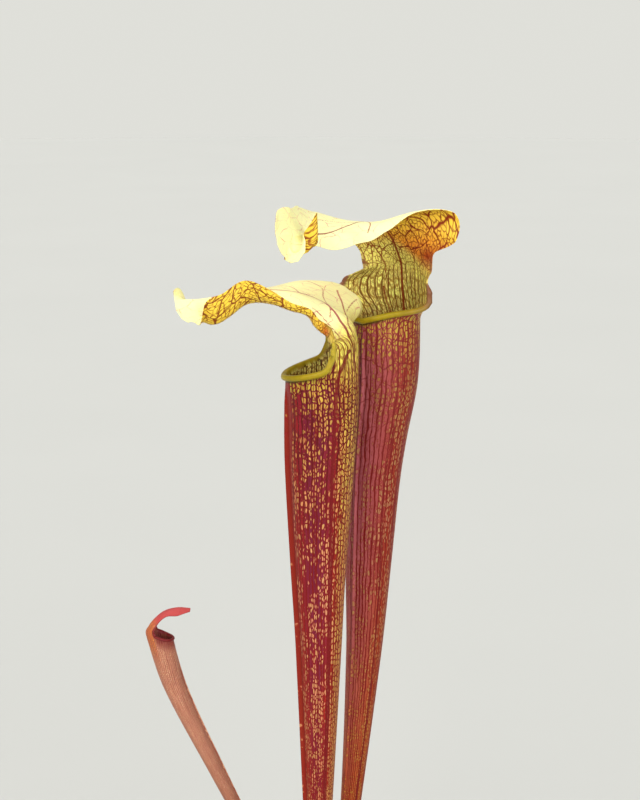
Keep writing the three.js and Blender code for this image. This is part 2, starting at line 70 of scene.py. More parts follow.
# bark, peat, perlite and grit: count, sizes, shape, how far each is sunk, tints
GRAINS = [
    (330, (2.2, 6.5), (1.5, 0.7, 0.4), 0.20, "5a3c24 6e4a2c 3e2a1a 7c5c3c"),
    (360, (1.2, 3.2), (1.1, 0.9, 0.7), 0.25, "34241a 4c3626 281c14"),
    (150, (1.2, 3.6), (1.0, 0.9, 0.85), 0.25, "e8e4da d6d2c4 f2efe8"),
    (200, (0.8, 1.6), (1.0, 0.9, 0.8), 0.20, "a89c86 8a7c68"),
]
# x, y, spread
MOSS_CLUMPS = [(-20, -4, 9), (46, 26, 8), (8, 48, 9), (30, -12, 6), (-44, 30, 7)]

CROWN_CENTRE, CROWN_REACH, CROWN_TURN = (10, 17, 129.0), (31, 20, 11), 37
# old leaf bases: x, y, lean in degrees, towards, length, radius
STUBS = [(-11, 8, 28, 200, 17, 4.2), (32, 14, 34, 330, 14, 3.8), (1, 31, 26, 110, 19, 4.0),
         (22, 9, 15, 300, 11, 3.6)]

# tube: height, centre x, centre y, half depth, half width
# keel: height, how far the wing stands out
# rims, left and right: degrees from the front, rise
# lid: midrib point (forward, up), then left and right half blade, each with
# its width, four slopes in degrees and the sweep of its edge along the midrib
FRONT = SimpleNamespace(
    name="front_pitcher", faces=183, neck_angle=73, lip=532, flare=(3, 3), blend=14,
    lip_radius=2.1, lip_fade=20,
    tube=[
        (122, 12.0, 6.0, 5.0, 5.4), (150, 12.4, 2.6, 5.6, 6.0), (200, 14.4, -2.6, 7.4, 7.4),
        (345, 15.8, -2.0, 13.9, 14.4), (408, 15.6, -1.0, 17.4, 17.7), (470, 16.3, -0.5, 21.4, 21.7),
        (515, 17.2, 0.0, 23.4, 23.2), (532, 16.6, 0.0, 24.0, 23.4), (560, 16.4, 0.0, 24.0, 23.6),
    ],
    keel=[(165, 0), (240, 2.6), (480, 3.0), (515, 2.2), (529, 0.4), (540, 0)],
    rims=[[(0, 0), (45, 2.5), (90, 8), (100, 12.5), (107, 20)]] * 2,
    lid=[
        ((-23, 560), (33, 0, -25, -52, -30, 0), (33, 0, -25, -52, -30, 0)),
        ((-21.5, 567), (36, 5, -40, -70, 50, 0), (33, 0, -20, -20, 10, -4)),
        ((-16.5, 574), (36.5, 5, -45, -45, 110, 8), (34, 8, 12, 15, 15, -10)),
        ((-2.3, 583), (37, 5, -35, -35, 90, 3), (40, 10, 14, 18, 18, -14.5)),
        ((8, 587.5), (34, 5, -20, -30, 80, 0), (39, 7, 12, 15, 15, -13.5)),
        ((20.6, 591), (33, 5, -20, -30, 90, 0), (37, 4, 6, 5, 0, -9)),
        ((35, 592), (34, 0, -26, 16, 108, 0), (34, -5, -5, -5, -5, -5)),
        ((50, 591), (34, 0, -32, 68, 98, 0), (28, -10, -10, -10, -10, 0)),
        ((64, 589), (39, -20, -57, 62, 95, 0), (26, -20, -20, -20, -20, 0)),
        ((74, 587), (39.5, -22, -68, 48, 95, 2), (22, -30, -30, -30, -30, 0)),
        ((82.5, 586), (17.5, -30, -50, -60, -60, 1), (17, -40, -40, -40, -40, 0)),
        ((88, 586), (15.5, -50, -60, -70, -80, 0), (12, -40, -20, -20, -20, 0)),
        ((92.5, 585.7), (12.5, -50, -60, -70, -80, 0), (9, 20, 40, 70, 110, 0)),
        ((95.5, 585.4), (7, -50, -60, -70, -80, 0), (8, 60, 90, 130, 190, 0)),
    ],
    neck_columns=36, rim_columns=30, tube_rows=150, lid_rows=170, bead=9,
    hairs=2600, hair_seed=5,
)
BACK = SimpleNamespace(
    name="back_pitcher", faces=230, neck_angle=80, lip=563.5, flare=(11, 13.5), blend=18,
    lip_radius=2.0, lip_fade=9,
    tube=[
        (122, 25.0, 27.0, 4.8, 5.0), (150, 28.6, 31.0, 5.2, 5.4), (200, 35.4, 38.5, 6.4, 6.6),
        (327, 46.0, 47.4, 12.1, 12.7), (393, 49.0, 49.0, 15.6, 16.4), (450, 52.0, 49.6, 18.4, 18.6),
        (480, 54.5, 50.0, 20.2, 20.4), (521, 59.0, 50.0, 23.2, 23.2), (564, 59.5, 50.0, 23.9, 23.9),
        (582, 59.5, 50.0, 20.0, 23.9), (600, 59.5, 50.0, 17.0, 23.9),
    ],
    keel=[(165, 0), (240, 1.6), (505, 1.6), (545, 1.2), (560, 0.3), (572, 0)],
    rims=[[(0, 0), (45, 5.5), (85, 10.5), (95, 14), (100, 20)],
          [(0, 0), (35, 2), (55, 6.5), (68, 11), (82, 15), (100, 20)]],
    lid=[
        ((-17, 600), (36, 0, -13, -28, -32, 0), (28.5, 0, -25, -50, -58, 0)),
        ((-12.5, 608), (33.5, 0, -5, -12, -14, 0), (26, 0, -20, -38, -38, 0)),
        ((-8.5, 613.5), (37, 0, 0, -6, -14, 0), (26, 0, -15, -25, -15, -2)),
        ((-5, 618), (48, 3, 7, 4, -10, -3), (28, 0, -15, -18, 0, -4)),
        ((-1, 622.5), (53, 6, 12, 8, -10, -6), (31, 0, -12, -10, 0, -6)),
        ((4, 627), (52.5, 10, 22, 24, 8, -7), (34, 0, -10, -5, 0, -8)),
        ((15, 631), (34, 5, 18, 20, 5, 0), (36, 0, -8, -8, -8, -5)),
        ((28, 632.5), (24, 0, -5, -10, -20, 0), (34, -3, 5, 8, 8, 0)),
        ((41, 631), (21, 0, -20, -30, -30, 0), (32, 2, 14, 18, 18, 0)),
        ((55, 629), (18, 0, -20, -35, -40, 0), (29.5, 13, 26, 32, 32, 0)),
        ((65, 628.5), (13, -25, -50, -55, -55, 0), (27, 22, 34, 40, 40, 0)),
        ((72, 629), (9, -45, -65, -70, -70, 0), (24.5, 26, 42, 48, 48, 0)),
        ((79, 629.2), (8, -70, -85, -70, -20, 0), (21.5, 32, 50, 56, 56, 0)),
        ((85, 629.5), (20, -80, -20, 88, 92, 0), (19.5, 38, 56, 64, 64, 0)),
        ((90.5, 629.8), (36, -84, 12, 90, 92, 0), (18, 44, 62, 70, 72, 0)),
        ((94.5, 630.2), (26, -85, -75, 70, 90, 0), (18, 48, 68, 76, 78, 0)),
        ((98, 631), (17.5, -85, -88, -88, -85, 0), (17.7, 52, 72, 80, 84, 0)),
        ((102.5, 631.5), (15.5, -86, -88, -90, -90, 0), (16.8, 58, 76, 84, 88, 0)),
        ((107.5, 631.2), (11.5, -84, -86, -90, -90, 0), (14, 64, 80, 86, 90, 0)),
        ((111, 631), (5, -80, -85, -90, -90, 0), (7.5, 70, 84, 90, 92, 0)),
    ],
    neck_columns=36, rim_columns=30, tube_rows=150, lid_rows=190, bead=9,
    hairs=2600, hair_seed=8,
)
SMALL = SimpleNamespace(
    name="old_small_pitcher", faces=0, neck_angle=70, lip=345, flare=(0, 0), blend=6,
    lip_radius=1.0, lip_fade=12,
    tube=[
        (122, -4.0, 20.0, 3.6, 3.8), (150, -11.0, 20.0, 3.8, 4.0), (200, -33.5, 20.4, 4.4, 4.6),
        (250, -57.5, 20.2, 5.6, 5.6), (310, -85.0, 20.0, 7.6, 7.2), (345, -94.5, 20.0, 9.0, 8.2),
        (362, -98.0, 20.0, 9.0, 8.2),
    ],
    keel=[(170, 0), (230, 1.2), (310, 1.4), (340, 0), (350, 0)],
    rims=[[(0, 0), (60, 1), (110, 4)]] * 2,
    lid=[(rib, half, half) for rib, half in [
        ((-7.5, 354.5), (8, 0, -20, -40, -50, 0)), ((-3, 360.5), (6.5, 0, -20, -40, -50, 0)),
        ((4, 366), (6, 0, -20, -40, -50, 0)), ((13, 368.5), (7, -10, -30, -50, -60, 0)),
        ((21.5, 368), (3, -10, -30, -50, -60, 0)),
    ]],
    neck_columns=16, rim_columns=16, tube_rows=120, lid_rows=50, bead=7,
    hairs=160, hair_seed=13,
)


# The smooth surface of a leaf


def ease(t):
    s = np.clip(t, 0, 1)
    return s * s * (3 - 2 * s)


def between(low, high, value):
    """0 below low, 1 above high, smooth between them."""
    return ease((np.asarray(value, float) - low) / (high - low))


def bump_at(centre, reach, value):
    """1 at centre, falling smoothly to 0 at reach on either side."""
    return 1 - ease(np.abs(np.asarray(value, float) - centre) / reach)


def along(rows, keys):
    """The smooth curve through rows (key, value, ...), read at each key."""
    rows = np.asarray(rows, float)
    last = len(rows) - 1
    at = np.clip(np.asarray(keys, float), rows[0, 0], rows[last, 0])
    i = np.clip(np.searchsorted(rows[:, 0], at, side="right") - 1, 0, last - 1)
    after = rows[np.minimum(np.arange(last + 1) + 1, last)]
    before = rows[np.maximum(np.arange(last + 1) - 1, 0)]
    slopes = (after - before)[:, 1:] / (after - before)[:, :1]
    step = (rows[i + 1, 0] - rows[i, 0])[..., None]
    t = (at - rows[i, 0])[..., None] / step
    return (
        (2 * t**3 - 3 * t**2 + 1) * rows[i, 1:]
        + (t**3 - 2 * t**2 + t) * step * slopes[i]
        + (3 * t**2 - 2 * t**3) * rows[i + 1, 1:]
        + (t**3 - t**2) * step * slopes[i + 1]
    )


def unit(vectors):
    return vectors / np.maximum(np.linalg.norm(vectors, axis=-1, keepdims=True), 1e-9)


def own_axes(leaf):
    face = math.radians(leaf.faces)
    forward = np.array([math.cos(face), math.sin(face), 0])
    left = np.array([-math.sin(face), math.cos(face), 0])
    return forward, left


def tube_points(leaf, heights, angles, grow=0):
    """Points of the outer wall for arrays of heights and angles of one shape."""
    values = along(leaf.tube, heights)
    forward, left = own_axes(leaf)
    turn = np.radians(angles)
    # The neck flares just above the mouth and draws in again towards the lid
    swell = ease((heights - leaf.lip) / 16) * (1 - 0.8 * ease((heights - leaf.lip - 22) / 34))
    flare = np.where(turn > 0, *leaf.flare) * swell * np.sin(turn) ** 2
    back = (values[..., 2] + grow) * np.cos(turn)
    side = (values[..., 3] + flare + grow) * np.sin(turn)
    centre = np.stack([values[..., 0], values[..., 1], heights], axis=-1)
    return centre - back[..., None] * forward + side[..., None] * left


def column_angles(leaf):
    """Columns right to left. The front column comes first, and only once."""
    neck = leaf.neck_angle * np.arange(1, leaf.neck_columns + 1) / leaf.neck_columns
    foot = 180 - KEEL_FOOT
    count = leaf.rim_columns - len(WING_COLUMNS) - 1
    rim = leaf.neck_angle + (foot - leaf.neck_angle) * np.arange(1, count + 1) / count
    side = np.concatenate([neck, rim, foot + KEEL_FOOT * np.array(WING_COLUMNS)])
    return np.concatenate([[-180], -side[::-1], [0], side])


def neck_foot(leaf):
    return leaf.lip + leaf.rims[0][-1][1]


def rim_heights(leaf, angles):
    """Where the tube ends at each angle: at the mouth's rim, or at the foot of the neck."""
    from_front = 180 - np.abs(angles)
    left, right = (along(rim, from_front)[..., 0] for rim in leaf.rims)
    top = leaf.lip + np.where(angles > 0, left, right)
    return np.where(np.abs(angles) <= leaf.neck_angle, neck_foot(leaf), top)


def keel_growth(leaf, heights, angles):
    """The wing down the front: a thin blade on a slightly hollowed foot."""
    across = (180 - np.abs(angles)) / KEEL_FOOT
    blade = 1 - ease(across / 0.8) ** 0.7
    return along(leaf.keel, heights)[..., 0] * blade


def tube_grid(leaf, keel):
    """Points up the tube with their heights and angles. Rows lie closer towards the mouth."""
    angles = column_angles(leaf)
    share = 1 - (1 - np.arange(leaf.tube_rows + 1) / leaf.tube_rows) ** 1.25
    heights = STEM_FOOT + (rim_heights(leaf, angles) - STEM_FOOT)[None, :] * share[:, None]
    turn = np.broadcast_to(angles, heights.shape)
    grow = keel_growth(leaf, heights, turn) if keel else 0
    return tube_points(leaf, heights, turn, grow), heights, turn


def lid_grid(leaf):
    """Points across the neck and lid, with the key along the midrib and the distance
    across the blade of each."""
    foot = neck_foot(leaf)
    x, y, depth, width = along(leaf.tube, foot)
    turn = leaf.neck_angle
    # The first station curves as the back of the tube does there
    curls = []
    for flare in leaf.flare:
        wide = width + flare
        slopes = [-math.degrees(math.atan2(depth * math.sin(a), wide * math.cos(a)))
                  for a in np.radians(turn) * np.array([0, 1 / 3, 2 / 3, 1])]
        curls.append((math.radians(turn) * math.hypot(depth, wide) / math.sqrt(2), *slopes, 0))
    stations = [((-depth, foot), *curls), *leaf.lid]
    ribs = np.array([(forward, 0, up) for (forward, up), *_ in stations], float)
    lengths = np.concatenate([[0], np.cumsum(np.linalg.norm(np.diff(ribs, axis=0), axis=1))])
    table = np.column_stack([lengths, ribs, [s[1] for s in stations], [s[2] for s in stations]])
    keys = lengths[-1] * np.arange(1, leaf.lid_rows + 1) / leaf.lid_rows
    values = along(table, keys)
    ahead = along(table, np.minimum(keys + 0.5, lengths[-1]))[:, :3]
    behind = along(table, np.maximum(keys - 0.5, 0))[:, :3]
    tangent = unit(ahead - behind)
    side = unit(np.array([0, 1, 0]) - tangent * tangent[:, 1:2])
    outward = np.cross(tangent, side)
    steps = BLADE_STEPS * leaf.neck_columns
    middles = (np.arange(steps) + 0.5) / steps
    weights = along(np.column_stack([[0, 1 / 3, 2 / 3, 1], np.eye(4)]), middles)
    halves = []
    for sign, half in ((-1, values[:, 9:15]), (1, values[:, 3:9])):
        slope = np.radians(half[:, 1:5] @ weights.T)[..., None]
        move = sign * np.cos(slope) * side[:, None] + np.sin(slope) * outward[:, None]
        points = values[:, None, :3] + np.cumsum(move, axis=1) * half[:, None, :1] / steps
        share = np.arange(1, leaf.neck_columns + 1) / leaf.neck_columns
        swept = half[:, None, 5:6] * share[None, :, None] ** 2 * tangent[:, None]
        halves.append((points[:, BLADE_STEPS - 1 :: BLADE_STEPS] + swept, sign * half[:, :1] * share))
    points = np.concatenate([halves[0][0][:, ::-1], values[:, None, :3], halves[1][0]], axis=1)
    across = np.concatenate([halves[0][1][:, ::-1], np.zeros((len(keys), 1)), halves[1][1]], axis=1)
    forward, left = own_axes(leaf)
    world = np.array([x, y, 0]) + points[..., :1] * forward + points[..., 1:2] * left
    world[..., 2] = points[..., 2]
    angles = turn * np.arange(-leaf.neck_columns, leaf.neck_columns + 1) / leaf.neck_columns
    heights = np.broadcast_to((foot + keys)[:, None], across.shape)
    tube = tube_points(leaf, heights, np.broadcast_to(angles, across.shape))
    blend = ease(keys / leaf.blend)[:, None, None]
    return tube + (world - tube) * blend, across, np.broadcast_to(keys[:, None], across.shape)


def grid_normals(rows, wraps):
    up = np.gradient(rows, axis=0)
    if wraps:
        leftward = np.roll(rows, -1, axis=1) - np.roll(rows, 1, axis=1)
    else:
        leftward = np.gradient(rows, axis=1)
    return unit(np.cross(up, leftward))


# A leaf's mesh, with what its material needs to know at each point


class LeafMesh:
    """Points in mm with named values at each, and faces with lengthwise map corners."""

    def __init__(self):
        self.points, self.values, self.faces, self.maps = [], {}, [], []
        self.count = 0

    def add(self, points, **values):
        flat = points.reshape(-1, 3)
        first = self.count
        self.points.append(flat)
        for name, value in values.items():
            spread = np.broadcast_to(value, points.shape[:-1]).reshape(-1)
            self.values.setdefault(name, []).append(spread)
        self.count += len(flat)
        return first + np.arange(len(flat)).reshape(points.shape[:-1])

    def at(self, numbers):
        return np.concatenate(self.points)[numbers]

    def quads(self, corners, maps):
        """corners: four index arrays of one shape; maps: four (column, length) pairs."""
        self.faces.append(np.stack([c.reshape(-1) for c in corners], axis=1))
        spread = [np.stack(np.broadcast_arrays(*m), axis=-1).reshape(-1, 2) for m in maps]
        self.maps.append(np.stack(spread, axis=1))

    def sheet(self, grid, lengths, columns, turned_in=False, wraps=False):
        """The faces of a grid of points, which wraps round a tube or ends at its sides."""
        here = np.arange(grid.shape[1])
        beside = (here + 1) % grid.shape[1]
        next_columns = np.append(columns[1:], columns[0] + VEINS_AROUND)
        if not wraps:
            here, beside, columns, next_columns = here[:-1], beside[:-1], columns[:-1], next_columns[:-1]
        low, high = slice(None, -1), slice(1, None)
        spots = [(low, here, columns), (high, here, columns), (high, beside, next_columns),
                 (low, beside, next_columns)]
        if turned_in:
            spots = [spots[k] for k in (0, 3, 2, 1)]
        self.quads([grid[rows][:, side] for rows, side, _ in spots],
                   [(column, lengths[rows][:, side]) for rows, side, column in spots])


def add_hairs(mesh, leaf, grid, normals, values):
    """Fine stiff hairs under the lid, pointing out from it and down towards the mouth."""
    draw = np.random.default_rng(leaf.hair_seed)
    rows = draw.integers(3, grid.shape[0] - 4, leaf.hairs)
    columns = draw.integers(4, grid.shape[1] - 4, leaf.hairs)
    roots = mesh.at(grid[rows, columns])
    towards_mouth = mesh.at(grid[rows - 3, columns]) - roots
    out = unit(-normals[rows, columns] + 0.7 * unit(towards_mouth) + draw.normal(0, 0.2, roots.shape))
    side = unit(np.cross(out, towards_mouth))
    other = np.cross(out, side)
    length = draw.uniform(*HAIR_LENGTHS, (leaf.hairs, 1))
    corners = [roots + HAIR_RADIUS * (math.cos(t) * side + math.sin(t) * other) for t in (0, 2.1, 4.2)]
    points = np.stack([*corners, roots + out * length], axis=1)
    kept = {name: np.broadcast_to(value, grid.shape)[rows, columns][:, None]
            for name, value in values.items()}
    a, b, c, tip = mesh.add(points, inner=1, lip=0, **kept).T
    for face in ((a, b, tip, tip), (b, c, tip, tip), (c, a, tip, tip), (b, a, c, c)):
        mesh.quads(face, [(np.zeros(leaf.hairs), values["height"][0, 0])] * 4)


def close_foot(mesh, ring, columns, height, foot, inner):
    """A fan of faces that closes the bottom of a wall, or of the hollow inside it."""
    hub = mesh.add(mesh.at(ring).mean(axis=0)[None], angle=0, height=height, across=0, key=height - foot,
                   rim=FAR, margin=FAR, inner=inner, lip=0)
    beside = np.roll(ring, -1)
    hubs = np.broadcast_to(hub, ring.shape)
    mesh.quads([*((beside, ring) if inner else (ring, beside)), hubs, hubs], [(columns, height)] * 4)


def edge_loop(leaf, outer, inner, outer_lid, inner_lid):
    """Outer point, inner point and share of the lid's length, all the way along its edge:
    up its left side, round its tip, down its right side and round the mouth."""
    share = np.arange(leaf.lid_rows + 1)[:, None] / leaf.lid_rows
    lid = np.stack(np.broadcast_arrays(outer_lid, inner_lid, share), axis=-1)
    mouth = np.stack([outer, inner, np.zeros(len(outer))], axis=-1)
    right, left = mouth[: leaf.rim_columns], mouth[-leaf.rim_columns + 1 :]
    return np.concatenate([lid[:, -1], lid[-1, -2:0:-1], lid[::-1, 0], right[::-1], left[::-1]])


def add_edge(mesh, leaf, loop):
    """The rounded edge that joins the two faces: a thick roll at the lip, thinning out up
    the neck."""
    out, inn = loop[:, :2].astype(int).T
    from_outer = mesh.at(out)
    across_wall = from_outer - mesh.at(inn)
    rib_length = np.linalg.norm(np.diff([s[0] for s in leaf.lid], axis=0), axis=1).sum()
    thickness = np.linalg.norm(across_wall, axis=1)
    normal = unit(across_wall)
    off = unit(np.cross(normal, unit(np.roll(from_outer, -1, axis=0) - np.roll(from_outer, 1, axis=0))))
    fade = 1 - ease(loop[:, 2] * rib_length / leaf.lip_fade)
    radius = thickness / 2 + (leaf.lip_radius - thickness / 2) * fade
    # Each ring lies on an arc about centre, from the outer face to the inner one
    rise = np.sqrt(np.maximum(2 * radius * thickness - thickness**2, 0))
    centre = from_outer + normal * (radius - thickness)[:, None] + off * rise[:, None]
    start = np.arctan2(-rise, thickness - radius)
    start = np.where(start > 0, start - 2 * math.pi, start)
    flat = {name: np.concatenate(parts)[out] for name, parts in mesh.values.items()}
    kept = {name: flat[name] for name in ("angle", "height", "across", "key")}
    rings, reach = [out], radius[:, None]
    for share in np.arange(1, leaf.bead + 1) / (leaf.bead + 1):
        swing = (start + (math.pi - start) * share)[:, None]
        ring = centre + normal * reach * np.cos(swing) + off * reach * np.sin(swing)
        rings.append(mesh.add(ring, rim=0, margin=0, lip=fade, inner=share, **kept))
    rings.append(inn)
    columns = flat["angle"] / 360 * VEINS_AROUND
    for a, b in zip(rings[:-1], rings[1:]):
        mesh.quads((a, np.roll(a, -1), np.roll(b, -1), b), [(columns, flat["height"])] * 4)


def build_pitcher(leaf):
    """One leaf as a closed mesh: outer and inner wall, lid, foot, edge and hairs."""
    mesh = LeafMesh()
    tube, heights, turn = tube_grid(leaf, True)
    core = tube_grid(leaf, False)[0]
    lid, across, keys = lid_grid(leaf)
    middle = leaf.rim_columns + leaf.neck_columns
    first, last = leaf.rim_columns, middle + leaf.neck_columns
    neck = slice(first, last + 1)
    foot = neck_foot(leaf)
    tube_normals = grid_normals(core, True)
    lid_normals = grid_normals(np.concatenate([core[-2:, neck], lid]), False)
    tube_normals[-1, first + 1 : last] = lid_normals[1, 1:-1]
    lid_normals = lid_normals[2:]
    hollow = int(np.argmax(core[:, middle, 2] > STEM_FOOT + SOLID_STEM))
    margin = np.where(across > 0, across[:, -1:] - across, across - across[:, :1])
    # The blade thins towards its margin and its tip
    thin = LEAF_WALL * (0.68 + 0.32 * ease(margin / 8)) * ease(1.2 - keys / keys.max() * 0.4)
    wall = LEAF_WALL + (thin - LEAF_WALL) * ease(keys / 20)
    columns = turn[0] / 360 * VEINS_AROUND
    tube_across = np.radians(turn) * (along(leaf.tube, heights)[..., 2:4].mean(axis=-1))
    below_rim = np.where(np.abs(turn) <= leaf.neck_angle, FAR, rim_heights(leaf, turn) - heights)
    shared = dict(angle=turn, height=heights, across=tube_across, key=heights - foot,
                  rim=below_rim, margin=FAR)
    outer = mesh.add(tube, inner=0, lip=0, **shared)
    inner = mesh.add(core - tube_normals * LEAF_WALL, inner=1, lip=0, **shared)
    blade = dict(angle=np.broadcast_to(turn[0, neck], across.shape), height=foot + keys,
                 across=across, key=keys, rim=FAR, margin=margin)
    outer_lid = mesh.add(lid, inner=0, lip=0, **blade)
    inner_lid = mesh.add(lid - lid_normals * wall[..., None], inner=1, lip=0, **blade)

    mesh.sheet(outer, heights, columns, wraps=True)
    mesh.sheet(inner[hollow:], heights[hollow:], columns, turned_in=True, wraps=True)
    lengths = np.vstack([heights[-1, neck], foot + keys])
    outer_rows = np.vstack([outer[-1, neck], outer_lid])
    inner_rows = np.vstack([inner[-1, neck], inner_lid])
    mesh.sheet(outer_rows, lengths, columns[neck])
    mesh.sheet(inner_rows, lengths, columns[neck], turned_in=True)
    close_foot(mesh, outer[0], columns, heights[0, 0], foot, 0)
    close_foot(mesh, inner[hollow], columns, heights[hollow, 0], foot, 1)
    add_edge(mesh, leaf, edge_loop(leaf, outer[-1], inner[-1], outer_rows, inner_rows))
    add_hairs(mesh, leaf, inner_lid, lid_normals, blade)

    mesh.points = np.concatenate(mesh.points)
    mesh.values = {name: np.concatenate(parts) for name, parts in mesh.values.items()}
    mesh.faces = np.concatenate(mesh.faces)
    mesh.maps = np.concatenate(mesh.maps)
    return mesh


def as_object(name, points, faces):
    """A smooth mesh object from points in mm. A face that repeats its last corner is a
    triangle."""
    trimmed = [f[:3] if len(f) == 4 and f[2] == f[3] else f for f in np.asarray(faces).tolist()]
    data = bpy.data.meshes.new(name)
    data.from_pydata((np.asarray(points) * MM).tolist(), [], trimmed)
    data.validate()
    data.shade_smooth()
    piece = bpy.data.objects.new(name, data)
    bpy.context.scene.collection.objects.link(piece)
    return piece


def with_values(piece, values):
    """Named numbers or colours at each point, for the material's Attribute nodes."""
    for name, value in values.items():
        if value.ndim == 2:
            layer = piece.data.attributes.new(name, "FLOAT_COLOR", "POINT")
            rgba = np.column_stack([value, np.ones(len(value))])
            layer.data.foreach_set("color", rgba.astype(np.float32).ravel())
        else:
            layer = piece.data.attributes.new(name, "FLOAT", "POINT")
            layer.data.foreach_set("value", value.astype(np.float32))


def with_map(piece, name, maps, faces):
    """A map of (column, length) corners."""
    keep = np.ones(faces.shape, bool)
    keep[faces[:, 2] == faces[:, 3], 3] = False
    layer = piece.data.uv_layers.new(name=name)
    layer.data.foreach_set("uv", maps[keep].astype(np.float32).ravel())


# Colours


def rgb(code):
    """A linear colour from a six-digit screen colour."""
    parts = [int(code[k : k + 2], 16) / 255 for k in (0, 2, 4)]
    return np.array([p / 12.92 if p <= 0.04045 else ((p + 0.055) / 1.055) ** 2.4 for p in parts])


CRIMSON = rgb("96181a")
DEEP_RED = rgb("74100f")
MAROON = rgb("560a10")
PURPLE = rgb("741a30")
ORANGE_RED = rgb("842414")
AMBER = rgb("a4502a")
PEACH = rgb("d08e62")
OLD_GOLD = rgb("c08844")
OLIVE = rgb("6f6416")
LIP_EDGE = rgb("938016")
CREAM = rgb("f9f3b0")
PALE_GREEN = rgb("eeec84")
PINK = rgb("d27074")
RED_BROWN = rgb("7c280c")
DARK_BROWN = rgb("4a2008")
VIOLET = rgb("621c36")
INNER_GOLD = rgb("e6c23e")
ORANGE = rgb("e8862a")
THROAT = rgb("b8340e")


def mixed(a, b, share):
    share = np.asarray(share, float)[..., None]
    return a * (1 - share) + b * share


def cell_count(leaf, heights):
    """How many rows of light cells lie below each height. They are long and slender
    low on the tube and rounder near the mouth."""
    top = neck_foot(leaf) + 160
    levels = np.arange(STEM_FOOT, top, 1.0)
    radius = along(leaf.tube, levels)[..., 2:4].mean(axis=-1)
    spacing = 2 * math.pi * radius / VEINS_AROUND
    slender = 2.7 - 1.15 * between(leaf.lip - 210, leaf.lip - 20, levels)
    slender = slender + 1.4 * between(leaf.lip + 2, leaf.lip + 14, levels)
    counts = np.concatenate([[0], np.cumsum(1 / (spacing * slender))])[: len(levels)]
    return np.interp(heights, levels, counts)


class Coat(dict):
    """Named colours at each point: the net's line, the flesh and the light spots."""

    def lay(self, share, everywhere=None, **colours):
        """Mixes each named colour in by its share, or one colour into them all."""
        for name, colour in (colours or dict.fromkeys(self, everywhere)).items():
            self[name] = mixed(self[name], colour, share)


def vein_gaps(leaf, v):
    """The distance in mm from each point to the nearest drawn vein's edge."""
    place = np.stack([v["across"], v["key"]], axis=-1)
    gaps = np.full(len(place), NO_VEIN)
    for inside, half_width, *points in leaf.veins:
        wanted = v["inner"] > 0.5 if inside else v["inner"] < 0.5
        steps = np.linspace(0, len(points) - 1, 12 * len(points))
        path = along([(i, *p) for i, p in enumerate(points)], steps)
        for start, end in zip(path[:-1], path[1:]):
            step = end - start
            share = np.clip(((place - start) @ step) / max(step @ step, 1e-9), 0, 1)
            gap = np.linalg.norm(place - start - share[:, None] * step, axis=1) - half_width
            gaps = np.where(wanted, np.minimum(gaps, gap), gaps)
    return gaps


def lid_inside(leaf, v):
    """The flesh of a lid's inner face: lime at the neck, then orange, then gold."""
    key, across, margin = v["key"], v["across"], v["margin"]
    colour = mixed(ORANGE, INNER_GOLD, between(26, 58, key))
    colour = mixed(colour, INNER_GOLD, 0.8 * (1 - between(2, 18, margin)))
    colour = mixed(colour, THROAT, bump_at(24, 13, key) * (1 - between(3, 13, margin)) * leaf.throat)
    reach = key + 0.95 * np.maximum(across, 0)
    colour = mixed(colour, rgb("ece070"), 1 - between(leaf.lime_to - 9, leaf.lime_to + 7, reach))
    fiery = between(46, 26, key) * between(4, 12, key) * (1 - between(5, 17, margin)) * between(0, 10, across)
    return mixed(colour, rgb("b02c10"), fiery * leaf.fire)


